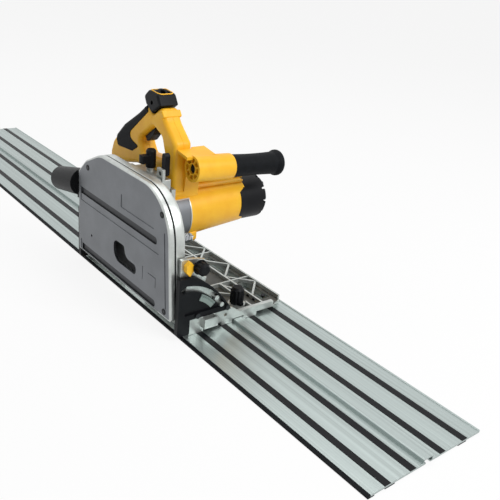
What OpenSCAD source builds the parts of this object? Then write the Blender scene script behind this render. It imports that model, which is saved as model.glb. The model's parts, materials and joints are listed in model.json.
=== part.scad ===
// Track plunge saw standing on its guide rail, in millimetres.
// +X runs along the cut, +Y points to the motor side and +Z is up.
// The origin lies on the table, under the rail's rib and half way along the rail.

/* [Guide rail] */
// Length of the guide rail
rail_l = 1500; // [900:10:3000]
// Width of the rail with its splinter strip
rail_w = 200; // [196:1:212]
// Thickness of the rail's plate
plate_t = 3; // [2.6:0.1:4]
// Height of the anti-slip strips under the plate
grip_t = 1.5; // [1.2:0.1:2.5]
// Width of an anti-slip strip
grip_w = 16; // [10:1:24]
// Width of the rib that guides the saw
rib_w = 17.5; // [16:0.5:19]
// Height of the rib above the plate
rib_h = 5.5; // [4.8:0.1:7]
// Wall of the hollow rib
rib_wall = 1.7; // [1.2:0.1:2]
// Mouth of the clamp slot under the rib
slot_w = 8; // [6:0.5:10]
// Thickness of the lips beside the slot's mouth
slot_lip = 2; // [1.5:0.1:2.4]
// Width of a glide strip
strip_w = 10; // [6:0.5:14]
// Thickness of a glide strip
strip_t = 0.8; // [0.7:0.1:1.2]
// Depth of the groove that a glide strip is bonded into
strip_seat = 0.4; // [0.2:0.05:0.6]
// Distance of the inner glide strips from the rib's centre
strip_in = 26.5; // [22:0.5:30]
// Distance of the outer glide strips from the rib's centre
strip_out = 69; // [60:0.5:76]
// Width of the splinter strip that stands past the plate
splinter_w = 4; // [3:0.5:5]
// Height of the splinter strip's edge
splinter_h = 3.5; // [3:0.1:4.5]

/* [Shoe] */
// Place of the saw along the rail, from the rail's middle
saw_x = 230; // [-400:5:300]
// Reach of the shoe in front of the saw's datum
shoe_front = 163; // [160:1:175]
// Reach of the shoe behind the saw's datum
shoe_rear = 165; // [158:1:190]
// Outer edge of the shoe on the blade side
shoe_left = -88; // [-90:0.5:-86]
// Outer edge of the shoe on the motor side
shoe_right = 90; // [86:1:110]
// Thickness of the shoe's floor
floor_t = 3; // [2.4:0.1:3.4]
// Space between the rib's top and the shoe's floor
rib_gap = 0.8; // [0.5:0.1:1]
// Thickness of the shoe's ribs
web_t = 3.2; // [2.4:0.1:4.5]
// Height of the shoe's ribs above the rail
web_h = 15; // [13:0.5:17]
// Thickness of the wall under a bevel bracket
seat_t = 6.4; // [5:0.1:7]
// Height of the wall under a bevel bracket
seat_h = 26; // [24:0.5:28]

/* [Rail adjusters] */
// Distance of an adjuster from the saw's datum, along the rail
adj_x = 134; // [128:0.5:136]
// Radius of an adjuster's knob
adj_r = 10.5; // [9:0.5:12]
// Height of an adjuster's knob
adj_h = 27; // [20:0.5:34]
// Radius of an adjuster's cam
cam_r = 8.6; // [7:0.1:9]
// Throw of the cam
cam_throw = 0.8; // [0.4:0.1:1]
// Space between the cam's circle and the rib
cam_gap = 1.15; // [1.1:0.05:1.6]

/* [Bevel] */
// Radius of the bevel brackets' rim about the cut line
rim_r = 97; // [96:0.5:100]
// Distance from the rim to the guide slot's middle
slot_in = 18; // [15:0.5:22]
// Radius of a guide pin
guide_pin_r = 4; // [3:0.25:5]
// Space between a guide pin and its slot
guide_gap = 0.4; // [0.3:0.05:0.6]
// Thickness of a bevel bracket
bracket_t = 8; // [6:0.5:9]
// Thickness of a tilt sector
sector_t = 6; // [5:0.5:7]
// Space between a bracket and its tilt sector
sector_gap = 0.6; // [0.4:0.1:1]
// Largest bevel angle
bevel_max = 47; // [45:1:48]
// Radius of a bevel knob
bevel_knob_r = 9.5; // [8:0.5:12]
// Length of a bevel knob
bevel_knob_l = 13; // [10:0.5:20]

/* [Guard] */
// Outer face of the guard's cover
cover_y = -115; // [-118:0.5:-112]
// Joint between the cover and the housing
seam_y = -106; // [-107:0.25:-105]
// Width of the dark joint
seam_gap = 2.6; // [0.6:0.1:3]
// Face of the guard's inner wall on the motor side
wall_y = -92; // [-92.5:0.25:-91.5]
// Thickness of the guard's inner wall
wall_t = 4; // [3:0.25:5]
// Thickness of the cover and of the guard's rim
skin_t = 3.4; // [2.8:0.1:4]
// Height of the guard's lower edge above the rail
guard_z = 24; // [22:0.5:26]
// Height of the guard's top above the rail
guard_top = 206; // [202:1:215]
// Height of the long grooves in the cover
groove_w = 11; // [8:0.5:14]
// Depth of the long grooves
groove_d = 3; // [1.5:0.1:3.4]
// Inside radius of the dust spout
spout_r = 16; // [14:0.25:17]
// Length of the dust spout
spout_l = 84; // [60:1:110]
// Downward slope of the dust spout
spout_slope = 12; // [0:1:18]
// Degrees by which the dust spout turns away from the rail
spout_yaw = 2.5; // [2:0.5:5]

/* [Blade and plunge] */
// Diameter of the blade
blade_d = 165; // [150:1:168]
// Width of the blade's cut
kerf = 2.2; // [1.6:0.1:2.6]
// Number of the blade's teeth
blade_teeth = 48; // [24:4:60]
// Diameter of the blade's bore
blade_bore = 20; // [16:1:22]
// Depth of cut on the rail
cut_depth = 54; // [40:0.5:55]
// Length of a plunge link between its pivots
link_l = 90; // [86:0.5:96]
// Thickness of a plunge link
link_t = 5; // [4:0.25:5.2]
// Radius of a plunge link's eyes
link_eye_r = 9; // [8:0.25:10]
// Radius of the pivot pins
pin_r = 5; // [4:0.25:6]

/* [Motor] */
// Outer radius of the motor housing at its end
motor_r = 36.8; // [36.4:0.1:37.4]
// How far the housing's lower side drops towards the gear case
motor_flare = 11.4; // [6:0.2:12]
// Wall of the motor housing
motor_wall = 3.4; // [2.6:0.1:4]
// End of the yellow motor housing
motor_end = 78; // [74:1:90]
// Outer radius of the end cap
cap_r = 36; // [35:0.25:36.5]
// Length of the end cap
cap_l = 42; // [34:1:48]
// Radius of the armature's core
core_r = 22; // [20:0.5:22.5]
// Air gap round the armature
air_gap = 0.6; // [0.4:0.1:1]
// Tooth module of the gears
gear_m = 1; // [0.9:0.02:1.04]
// Width of the gears
gear_w = 12; // [9:0.5:13]

/* [Handles] */
// Middle plane of the main handle
grip_y = -40; // [-42:0.5:-38]
// Thickness of the main handle
handle_t = 30; // [26:0.5:33]
// Rounding of the rubber grip's edges
grip_edge = 5.5; // [3:0.5:6]
// How far the rubber grip stands proud of the handle
rubber_t = 1.2; // [0.4:0.1:2]
// Radius of the front handle's grip
front_grip_r = 17.2; // [14:0.2:18]
// Length of the front handle's grip
front_grip_l = 95; // [80:1:120]
// Radius of the front handle's boss
boss_r = 19.2; // [18:0.1:20]

/* [Hidden] */
$fn = 64;

alloy = "#c9cdc8";
cast_grey = "#8d9193";
saw_yellow = "#f7b71d";
black_plastic = "#1d1e20";
rubber_black = "#26282b";
steel = "#b4b7ba";
dark_steel = "#6d7072";
copper = "#b8713c";

// Clearances
run = 0.05;
fit = 0.02;
body_gap = 0.3;
eps = 1;

// Rail levels, and the cut line's distance from the rib, which the saw sets
cut_side = 100;
plate_z = grip_t;
rail_top = grip_t + plate_t;
strip_proud = strip_t - strip_seat;
rib_top = rib_h;
edge_left = -cut_side;
edge_right = rail_w - cut_side;
plate_left = edge_left + splinter_w;
strip_ys = [-strip_out, -strip_in, strip_in, strip_out];
bead_w = 3;
bead_h = 0.8;
rib_chamfer = 1;

// Shoe levels, above the rail's top
foot_z = strip_proud + 0.1;
floor_z = rib_top + rib_gap;
floor_top = floor_z + floor_t;
runners = [[shoe_left, -strip_out + 6], [-strip_in - 4, -rib_w / 2 - 1.6],
           [rib_w / 2 + 2, strip_in + 9], [strip_out - 12, shoe_right]];
adj_y = rib_w / 2 + cam_gap + cam_r;
adj_pin_r = 5;
adj_base = 12;
cam_z = 1.2;
cam_h = 3.6;

// Bevel: every angle is taken at the cut line, from +Y upwards
cut_y = edge_left - 0.2;
pivot = [cut_y, -rail_top];
guide_r = rim_r - slot_in;
// Flatter arc that takes the bracket's rim down to the seat
slope_at = [-0.87, -0.74] * rim_r;
slope_r = 2.03 * rim_r;
pocket_d = 3.6;
pin_angles = [31, 43];
slot_from = pin_angles[0];
slot_to = pin_angles[1] + bevel_max;
bracket_left = -108.5;
front_sector_x = 150;
front_bracket_x = front_sector_x + sector_t + sector_gap;
rear_sector_x = -137;
rear_bracket_x = rear_sector_x - sector_gap - bracket_t;
knob_at = [-77.5, 107];
stud_r = 3;
knob_flange_r = 11;
knob_flange_t = 1.6;
foot_l = 13;
foot_w = 5;
bracket_screw_ys = [-76, bracket_right() - 7];
bracket_screw_z = seat_h + 4;
tab_t = 4;
tab_w = 8;
tab_h = 6.5;

// Guard
guard_rear = -131;
guard_front = 155.6;
guard_lean = 17.6;
guard_pts = [[guard_rear, guard_z, 4], [guard_front, guard_z, 5],
             [guard_front - guard_lean, guard_top, 74], [-58, guard_top, 60],
             [-106, guard_top - 22.5, 40], [guard_rear, guard_top - 46, 12]];
cavity_top = guard_z + 40;
housing_y = seam_y + seam_gap / 2;
cover_in = seam_y - seam_gap / 2;
screw_pts = [[123, 174], [138, 34], [-97, 174]];
screw_r = 2.2;
head_r = 4;
screw_boss_r = 5.5;
window_at = [-10, 55];
spout_wall = 4;
spout_taper = 3;
spout_y = (cover_y + wall_y) / 2;
spout_z = 138;
spout_flange_t = 6.5;

// Blade and plunge
arbor = [16, 108];
blade_r = blade_d / 2;
arbor_low = blade_r - cut_depth - rail_top;
plunge = arbor[1] - arbor_low;
swing = asin(plunge / 2 / link_l);
link_reach = [-link_l * cos(swing), link_l * sin(swing)];
low_eye = [45.7, 106];
eye_rise = 70;
low_pivot = low_eye - link_reach;
up_eye = low_eye + [0, eye_rise];
up_pivot = low_pivot + [0, eye_rise];
slot_centre = arbor - link_reach;
link_y = wall_y + 0.5;
blade_y = cut_y - kerf;

// Gear case and gears
case_y = link_y + link_t + 0.5;
plate_y = -62;
motor_y = -55;
case_top = 200;
case_low = 97;
case_x = [-24, 62];
case_ring_r = 22;
teeth_drive = 36;
teeth_idler = 22;
teeth_pinion = 12;
motor_at = arbor + [13, 31.5];
drive_r = gear_m * teeth_drive / 2;
idler_r = gear_m * teeth_idler / 2;
pinion_r = gear_m * teeth_pinion / 2;
motor_far = norm(motor_at - arbor);
motor_dir = (motor_at - arbor) / motor_far;
reach_ai = drive_r + idler_r;
reach_im = idler_r + pinion_r;
along_am = (reach_ai * reach_ai - reach_im * reach_im + motor_far * motor_far) / 2 / motor_far;
beside_am = sqrt(reach_ai * reach_ai - along_am * along_am);
idler_at = arbor + along_am * motor_dir + beside_am * [motor_dir[1], -motor_dir[0]];
gear_y = plate_y - 1.5 - gear_w;
tip_gap = 0.8;
dir_ai = bearing_of(idler_at - arbor);
dir_im = bearing_of(motor_at - idler_at);
idler_pitch = 360 / teeth_idler;
idler_phase = dir_ai + 180 + idler_pitch / 2;
idler_off = dir_im - idler_phase - idler_pitch * round((dir_im - idler_phase) / idler_pitch);
pinion_phase = dir_im + 180 + idler_off * idler_r / pinion_r + 180 / teeth_pinion;
idler_stub_r = 3.5;

// Shafts and bearings, as outer radius, bore radius and width
spindle_r = 6;
spindle_tail_r = 4;
bearing_nose = [14, spindle_r, 8];
bearing_tail = [11, spindle_tail_r, 6];
bearing_motor = [11, 4, 6];
bearing_rear = [9.5, 4, 7];
flange_in_t = 3;
flange_out_t = 2.8;

// Motor
motor_in = motor_r - motor_wall;
cap_end = motor_end + cap_l;
cap_wall = 3;
stator_y = [-22, 34];
coil_l = 8;
commutator_y = [46, 60];
commutator_r = 12;
brush_y = 53;
brush_s = 6;
holder_s = 9;
fan_y = [-50, -40];
fan_r = motor_in - 3;
fan_blades = 11;
dial_r = 9;

// Handles
handle_low = grip_y - handle_t / 2;
handle_high = grip_y + handle_t / 2;
boss_at = [80.5, 216.5];
boss_y = [-42, 24];
boss_drop = 2.8;
boss_hole_r = 7;
column_x = 54;
saddle_r = motor_r + motor_flare / 2 * (motor_end - handle_low) / (motor_end - motor_y);
saddle_at = motor_at + [0, motor_r - saddle_r];
shell_pts = [[-138, 170, 8], [-100, 175, 30], [-55, 187, 20], [-14, 187, 8], [-6, 150, 2], [58, 150, 2],
             [column_x, 184, 10], [column_x, 246, 8], [26, 270, 30], [12.5, 290.5, 1],
             [-11, 274, 1], [-28, 284, 1], [-52, 266, 24], [-96, 238, 40], [-130, 205, 14], [-138, 186, 8]];
hole_pts = [[-34, 209, 8], [28, 215, 8], [16, 246, 9], [-8, 257, 9], [-48, 228, 9]];
rubber_pts = [[-110, 201, 8], [-66, 204, 6], [-47, 216, 2], [-64, 220, 6], [-81, 227, 8],
              [-22, 275, 2], [-28.5, 284.5, 2], [-52, 267, 24], [-96, 239, 40], [-124, 213, 8]];
block_pts = [[-10.6, 274.6, 1], [12.6, 291.2, 1], [3, 306, 6], [-22, 308, 7], [-35, 297, 6], [-28.2, 285, 1]];
grip_gap = 0.25;
trigger_at = [-27.5, 242.5];
trigger_turn = 36.6;
trigger_pin = [13, -4];
trigger_pin_r = 2;
trigger_w = 14;
release_at = [26, 250];
release_r = 6;
inlet_at = [-9, 304];
inlet_lean = 28;
cord_r = 4;

// Controls on the gear case
depth_at = [12, -68];
depth_stem_r = 4;
lock_at = [54, -66];
lock_z = 206;
lock_pin_r = 3;

// Direction of a vector, in degrees
function bearing_of(v) = atan2(v[1], v[0]);
function unit(v) = v / norm(v);
function on_circle(c, r, a) = c + r * [cos(a), sin(a)];
function flat2(p) = [p[0], p[1]];

// One corner of an outline, rounded to the radius that its third number gives
function round_corner(p, q, s, n) =
  let (a = unit(flat2(p) - flat2(q)),
       b = unit(flat2(s) - flat2(q)),
       half = acos(a * b) / 2,
       c = flat2(q) + unit(a + b) * q[2] / sin(half),
       t0 = flat2(q) + a * q[2] / tan(half) - c,
       t1 = flat2(q) + b * q[2] / tan(half) - c,
       turn = atan2(cross(t0, t1), t0 * t1))
  [for (i = [0:n]) on_circle(c, q[2], bearing_of(t0) + turn * i / n)];

// An outline of [x, y, corner radius] points as plain points
function rounded(pts, n = 6) =
  let (k = len(pts))
  [for (i = [0:k - 1]) each round_corner(pts[(i + k - 1) % k], pts[i], pts[(i + 1) % k], n)];

// An outline that runs anticlockwise, moved inwards by d
function inset(pts, d) =
  let (k = len(pts))
  [for (i = [0:k - 1])
    let (e1 = unit(flat2(pts[i]) - flat2(pts[(i + k - 1) % k])),
         e2 = unit(flat2(pts[(i + 1) % k]) - flat2(pts[i])),
         n1 = [-e1[1], e1[0]],
         n2 = [-e2[1], e2[0]],
         m = flat2(pts[i]) + d * (n1 + n2) / (1 + n1 * n2),
         r = pts[i][2] + (cross(e1, e2) > 0 ? -d : d))
    [m[0], m[1], max(r, 0.1)]];

// Everything but the rail stands on the rail's top, at the saw's datum
module on_rail() { translate([saw_x, 0, rail_top]) children(); }

// A flat shape in X and Z, extruded from y0 to y1
module slab(y0, y1) { translate([0, y1, 0]) rotate([90, 0, 0]) linear_extrude(y1 - y0) children(); }

// A flat shape in Y and Z, extruded from x0 to x1
module slice(x0, x1) { translate([x0, 0, 0]) rotate([90, 0, 90]) linear_extrude(x1 - x0) children(); }

// Round bars along Y and along X
module rod_y(p, r, y0, y1) {
  translate([p[0], y1, p[1]]) rotate([90, 0, 0]) cylinder(r = r, h = y1 - y0);
}
module rod_x(p, r, x0, x1) {
  translate([x0, p[0], p[1]]) rotate([0, 90, 0]) cylinder(r = r, h = x1 - x0);
}

// Solid skinned over one outline at several depths; each level is [y, inset]
module skinned(pts, levels, n = 4) {
  rings = [for (l = levels) [for (p = rounded(inset(pts, l[1]), n)) [p[0], l[0], p[1]]]];
  k = len(rings[0]);
  top = len(levels) - 1;
  polyhedron(
    points = [for (ring = rings) each ring],
    faces = [[for (i = [k - 1:-1:0]) i],
             [for (i = [0:k - 1]) top * k + i],
             for (l = [0:top - 1]) for (i = [0:k - 1])
               let (j = (i + 1) % k) each [[l * k + i, l * k + j, l * k + k + j],
                                           [l * k + i, l * k + k + j, l * k + k + i]]]);
}

// Depth levels of a rounded edge, from the face at y0 inwards
function edge_levels(y0, e, way) = [for (t = [0:30:90]) [y0 + way * e * (1 - cos(t)), e * (1 - sin(t))]];
function reversed(v) = [for (i = [len(v) - 1:-1:0]) v[i]];

// Part of a ring between two angles, with round ends a hair narrower than the ring
module arc_slot(r, w, a0, a1) {
  hair = 0.05;
  intersection() {
    difference() {
      circle(r + w / 2);
      circle(r - w / 2);
    }
    polygon([[0, 0], for (i = [0:4]) on_circle([0, 0], 3 * r, a0 + (a1 - a0) * i / 4)]);
  }
  for (a = [a0, a1]) translate(on_circle([0, 0], r, a)) circle(w / 2 - hair);
}

// Barrel knob with finger flutes, along +Z
module fluted(r, h, flutes, flute_r) {
  difference() {
    cylinder(r = r, h = h);
    for (i = [0:flutes - 1]) rotate(360 * i / flutes)
      translate([r + flute_r * 0.45, 0, -eps]) cylinder(r = flute_r, h = h + 2 * eps);
  }
}

// Spur gear outline with straight flanks and backlash
module gear_2d(teeth, phase) {
  r = gear_m * teeth / 2;
  half_pitch = 90 / teeth;
  slack = 0.16 * gear_m / r * 180 / PI;
  flank = 0.36 * gear_m / r * 180 / PI;
  root = r - 1.2 * gear_m;
  tip = r + 0.85 * gear_m;
  polygon([for (i = [0:teeth - 1]) let (a = phase + 360 * i / teeth)
    each [on_circle([0, 0], root, a - half_pitch - flank + slack),
          on_circle([0, 0], tip, a - half_pitch + flank + slack),
          on_circle([0, 0], tip, a + half_pitch - flank - slack),
          on_circle([0, 0], root, a + half_pitch + flank - slack)]]);
}

// Bearing ring, given as [outer radius, bore radius, width]
module bearing(p, b, y) {
  difference() {
    rod_y(p, b[0] - fit, y, y + b[2]);
    rod_y(p, b[1] + fit, y - eps, y + b[2] + eps);
    for (s = [-eps, b[2] - 0.6]) difference() {
      rod_y(p, b[0] - 1.8, y + s, y + s + eps + 0.6);
      rod_y(p, b[1] + 1.8, y + s - eps, y + s + 2 * eps + 0.6);
    }
  }
}

// Rail

module rail_profile() {
  difference() {
    union() {
      translate([plate_left, plate_z]) square([edge_right - plate_left, plate_t]);
      translate([edge_right - bead_w, plate_z]) square([bead_w, plate_t + bead_h]);
      polygon([[-rib_w / 2, plate_z], [rib_w / 2, plate_z],
               [rib_w / 2, rail_top + rib_h - rib_chamfer], [rib_w / 2 - rib_chamfer, rail_top + rib_h],
               [-rib_w / 2 + rib_chamfer, rail_top + rib_h], [-rib_w / 2, rail_top + rib_h - rib_chamfer]]);
    }
    for (y = strip_ys) translate([y - strip_w / 2, rail_top - strip_seat]) square([strip_w, 2 * strip_seat]);
    translate([-slot_w / 2, plate_z - eps]) square([slot_w, slot_lip + 2 * eps]);
    translate([-rib_w / 2 + rib_wall, plate_z + slot_lip])
      square([rib_w - 2 * rib_wall, plate_t + rib_h - rib_wall - slot_lip]);
  }
}

module guide_rail() {
  color(alloy) slice(-rail_l / 2, rail_l / 2) rail_profile();
}

module glide_strips() {
  color(black_plastic) for (y = strip_ys)
    translate([-rail_l / 2, y - strip_w / 2, rail_top - strip_seat]) cube([rail_l, strip_w, strip_t]);
}

module splinter_guard() {
  under = 6;
  color(black_plastic) slice(-rail_l / 2, rail_l / 2)
    polygon([[edge_left, 0], [plate_left + under, 0], [plate_left + under, plate_z],
             [plate_left, plate_z], [plate_left, splinter_h], [edge_left, splinter_h - 1]]);
}

module grip_strips() {
  color(rubber_black) for (y = [4 - strip_out, strip_out - 4])
    translate([-rail_l / 2, y - grip_w / 2, 0]) cube([rail_l, grip_w, grip_t]);
}

// Shoe

// A straight rib of the shoe between two points of its plan
module web(a, b, h) {
  d = b - a;
  over = 0.7;
  translate([a[0], a[1], floor_z]) rotate(bearing_of(d))
    translate([-over, -web_t / 2, 0]) cube([norm(d) + 2 * over, web_t, h - floor_z]);
}

module shoe_plan() {
  cut = 11;
  polygon([[-shoe_rear, shoe_left], [shoe_front, shoe_left], [shoe_front, shoe_right - 2 * cut],
           [shoe_front - cut, shoe_right], [-shoe_rear + cut, shoe_right], [-shoe_rear, shoe_right - cut]]);
}

// Wall that carries a bevel bracket, low on the motor side
module seat_wall_2d(right, right_h) {
  ramp = bracket_right() + 4;
  polygon([[shoe_left, floor_z], [right, floor_z], [right, right_h], [ramp + 14, right_h],
           [ramp, seat_h], [shoe_left, seat_h]]);
}

// Where the bracket's rim meets the top of its seat
function bracket_right() =
  let (up = seat_h - pivot[1] - slope_at[1]) cut_y + slope_at[0] + sqrt(slope_r * slope_r - up * up);

module shoe_webs() {
  front = shoe_front - seat_t - eps;
  rear = -shoe_rear + web_t;
  lattice = 36;
  side = [52, shoe_right - web_t];
  // Lattice along the motor side, over the whole length
  web([rear, side[0]], [front, side[0]], web_h);
  for (k = [0:7]) {
    x0 = rear + 4 + lattice * k;
    web([x0, k % 2 == 0 ? side[0] : side[1]], [x0 + lattice, k % 2 == 0 ? side[1] : side[0]], web_h);
  }
  // Ribs in front of the motor
  for (y = [-46, 30]) web([74, y], [front, y], web_h);
  for (s = [[74, -46, 116, -12, 2], [116, -12, front, -46, 2.4],
            [74, 30, 112, 52, 2], [74, -12, 110, 30, 2.4]])
    web([s[0], s[1]], [s[2], s[3]], web_h - s[4]);
  web([74, shoe_left + web_t / 2], [74, side[1]], web_h);
  // Ribs behind the motor
  for (y = [-46, 30]) web([rear, y], [-34, y], web_h);
  for (k = [0:2]) {
    web([rear + 42 * k, -10], [rear + 42 * (k + 1), -46], web_h - 2);
    web([rear + 42 * k, 30], [rear + 42 * (k + 1), 52], web_h - 2);
  }
  web([-34, shoe_left + web_t / 2], [-34, side[1]], web_h);
  web([-shoe_rear + web_t / 2, shoe_left + 1], [-shoe_rear + web_t / 2, shoe_right - 12], web_h);
}

module shoe_side_wall() {
  slab(shoe_right - web_t, shoe_right)
    polygon([[-shoe_rear + 11, foot_z], [shoe_front - 11, foot_z],
             [shoe_front - 11, web_h + 1], [-shoe_rear + 11, web_h + 1]]);
}

// Open box on the front wall
module front_box() {
  wall = 2;
  deep = 9;
  box_y = [-67, -44];
  box_z = [9, 24];
  translate([shoe_front - 1, box_y[0], box_z[0]]) difference() {
    cube([deep + 1, box_y[1] - box_y[0], box_z[1] - box_z[0]]);
    translate([1, wall, wall]) cube([deep - wall, box_y[1] - box_y[0] - 2 * wall, 40]);
  }
}

module shoe() {
  well = [arbor[0] - case_ring_r - 14, arbor[0] + case_ring_r + 5];
  color(alloy) on_rail() difference() {
    union() {
      translate([0, 0, floor_z]) linear_extrude(floor_t) shoe_plan();
      for (f = runners) translate([-shoe_rear, f[0], foot_z])
        cube([shoe_rear + shoe_front - (f[1] > strip_out ? 11 : 0), f[1] - f[0], floor_z - foot_z + eps]);
      slice(shoe_front - seat_t, shoe_front) seat_wall_2d(shoe_right - 22, web_h + 1);
      slice(rear_bracket_x + bracket_t - seat_t, rear_bracket_x + bracket_t) seat_wall_2d(-6, web_h);
      screw_tabs(front_bracket_x, 0);
      screw_tabs(rear_bracket_x + bracket_t - tab_t, 0);
      for (x = [adj_x, -adj_x])
        translate([x, adj_y, floor_z]) cylinder(r = adj_r + 3, h = adj_base - floor_z);
      shoe_webs();
      shoe_side_wall();
      front_box();
    }
    // Well for the gear case, and the window under the motor
    translate([well[0], shoe_left - eps, -eps]) cube([well[1] - well[0], motor_y + 6 - shoe_left, 60]);
    translate([-12, motor_y + 4, -eps]) cube([80, 40, 60]);
    // Windows between the ribs
    for (w = [[-150, -44, 62, 80], [-28, 66, 62, 80], [80, 140, 62, 80], [-150, -40, -40, -22],
              [-150, -46, -84, -52],
              [80, 144, -82, -52]])
      translate([w[0], w[2], -eps]) cube([w[1] - w[0], w[3] - w[2], floor_top + eps]);
    // Cam pockets and adjuster bores
    for (x = [adj_x, -adj_x]) {
      translate([x, adj_y, -eps]) cylinder(r = cam_r + cam_throw + 1, h = floor_z + eps);
      translate([x, adj_y, 0]) cylinder(r = adj_pin_r + run, h = 60);
      translate([x, adj_y, adj_base]) cylinder(r = adj_r + 3.6, h = 60);
    }
    for (y = bracket_screw_ys)
      rod_x([y, bracket_screw_z], screw_r + fit, rear_bracket_x - eps, front_bracket_x + bracket_t + eps);
    // Screw hole in the front wall
    rod_x([-24, 17], 2.6, shoe_front - seat_t - eps, shoe_front + eps);
  }
}

module bracket_2d() {
  difference() {
    union() {
      intersection() {
        translate(pivot) circle(rim_r);
        translate(pivot + slope_at) circle(slope_r);
        translate([bracket_left, seat_h]) square([rim_r + 20, rim_r]);
      }
      polygon(rounded([[bracket_left, 3, 3], [shoe_left - body_gap, 3, 2],
                       [shoe_left - body_gap, seat_h + 20, 1],
                       [bracket_left, seat_h + 20, 1]]));
    }
    translate(pivot) arc_slot(guide_r, 2 * (guide_pin_r + guide_gap), slot_from, slot_to);
  }
}

// Pocket that leaves a raised frame along the foot, the upright and the rim
module bracket_pocket_2d() {
  foot = 8;
  upright = 11;
  rim = 11;
  lip = 3;
  intersection() {
    translate(pivot) circle(rim_r - rim);
    translate(pivot + slope_at) circle(slope_r - lip);
    translate([bracket_left + upright, seat_h + foot]) square(200);
  }
}

module bevel_bracket(x, face) {
  difference() {
    slice(x, x + bracket_t) bracket_2d();
    slice(face > 0 ? x + bracket_t - pocket_d : x - eps, face > 0 ? x + bracket_t + eps : x + pocket_d)
      bracket_pocket_2d();
    for (y = bracket_screw_ys) rod_x([y, bracket_screw_z], screw_r + fit, x - eps, x + bracket_t + eps);
    screw_tabs(face > 0 ? x : x + bracket_t - tab_t, fit);
  }
}

// Tabs of the seat wall that a bracket's screws go into
module screw_tabs(x, room) {
  for (y = bracket_screw_ys) translate([x - room, y - tab_w / 2 - room, seat_h - eps])
    cube([tab_t + 2 * room, tab_w + 2 * room, tab_h + eps + room]);
}

module front_bevel_bracket() { color(black_plastic) on_rail() bevel_bracket(front_bracket_x, 1); }
module rear_bevel_bracket() { color(black_plastic) on_rail() bevel_bracket(rear_bracket_x, -1); }

module bracket_screws() {
  head_t = 2;
  color(dark_steel) on_rail() for (y = bracket_screw_ys) {
    rod_x([y, bracket_screw_z], head_r, front_bracket_x + bracket_t, front_bracket_x + bracket_t + head_t);
    rod_x([y, bracket_screw_z], screw_r, front_bracket_x + eps, front_bracket_x + bracket_t);
    rod_x([y, bracket_screw_z], head_r, rear_bracket_x - head_t, rear_bracket_x);
    rod_x([y, bracket_screw_z], screw_r, rear_bracket_x, rear_bracket_x + bracket_t - eps);
  }
}

// Curved degree plates in the brackets' pockets
module bevel_scale() {
  from = 40;
  to = 64;
  plate = 1.2;
  margin = 1.5;
  wide = 10;
  outer = guide_r - guide_pin_r - guide_gap - margin;
  color(cast_grey) on_rail()
    for (x = [front_bracket_x + bracket_t - pocket_d, rear_bracket_x + pocket_d - plate])
      slice(x, x + plate) translate(pivot) intersection() {
        difference() {
          circle(outer);
          circle(outer - wide);
        }
        polygon([[0, 0], for (a = [from:(to - from) / 4:to]) on_circle([0, 0], 2 * rim_r, a)]);
      }
}

// Eccentric that takes up the play on the rail's rib, with its knob
module rail_adjuster(x) {
  ear = [2 * adj_r + 6, 6, 5];
  translate([x, adj_y, 0]) {
    translate([cam_throw, 0, cam_z]) cylinder(r = cam_r, h = cam_h);
    translate([0, 0, cam_z]) cylinder(r = adj_pin_r, h = adj_base - cam_z + eps);
    translate([0, 0, adj_base + body_gap]) {
      fluted(adj_r, adj_h - 4, 10, 2.2);
      translate([0, 0, adj_h - 4]) cylinder(r1 = adj_r - 1, r2 = adj_r - 3.4, h = 4);
      translate([-ear[0] / 2, -ear[1] / 2, 0]) cube(ear);
    }
  }
}

module front_rail_adjuster() { color(black_plastic) on_rail() rail_adjuster(adj_x); }
module rear_rail_adjuster() { color(black_plastic) on_rail() rail_adjuster(-adj_x); }

// Guard

module cavity_2d(d) {
  polygon(rounded(inset(guard_pts, d), 12));
  lean = guard_lean * (cavity_top - guard_z) / (guard_top - guard_z);
  polygon([[guard_rear + d, guard_z - 10], [guard_front - d, guard_z - 10],
           [guard_front - d - lean, cavity_top], [guard_rear + d, cavity_top]]);
}

// Arc that the spindle travels along
module spindle_path_2d(w) {
  translate(slot_centre) arc_slot(link_l, w, 180 - swing, 180 + swing);
}

module guard_housing() {
  rim = [5, 9];
  slot_side = 2;
  color(alloy) on_rail() difference() {
    union() {
      difference() {
        slab(housing_y, wall_y) polygon(rounded(guard_pts, 12));
        slab(housing_y - eps, wall_y - wall_t) cavity_2d(skin_t);
      }
      for (p = screw_pts) rod_y(p, screw_boss_r, housing_y, wall_y - wall_t + eps);
      // Raised rim behind the top and the front edge
      slab(wall_y - eps, case_y - 0.6) intersection() {
        difference() {
          polygon(rounded(inset(guard_pts, rim[0])));
          polygon(rounded(inset(guard_pts, rim[1])));
        }
        polygon([[-90, 150], [100, 150], [100, 100], [170, 100], [170, 230], [-90, 230]]);
      }
    }
    slab(wall_y - wall_t - eps, wall_y + eps) spindle_path_2d(2 * (spindle_r + slot_side));
    for (p = [low_pivot, up_pivot]) rod_y(p, pin_r + fit, wall_y - wall_t - eps, wall_y + eps);
    for (p = screw_pts) rod_y(p, screw_r + fit, housing_y - eps, wall_y + eps);
    // Way out for the dust
    translate([guard_rear - eps, housing_y - eps, spout_z - 18])
      cube([skin_t + 2 * eps, wall_y - wall_t - housing_y + eps, 32]);
  }
}

// Blade-change window with its bend at the lower front
module window_2d() {
  leg = 33;
  foot = 16;
  polygon(rounded([[0, 0, 18], [68, 0, 7], [68, foot, 7], [leg, foot, 14], [leg, 33, 3], [0, 33, 10]]));
}

module long_groove_2d(x0, x1, z) {
  translate([x0, z - groove_w / 2]) square([x1 - x0, groove_w]);
  translate([x1, z]) circle(groove_w / 2);
}

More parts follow.
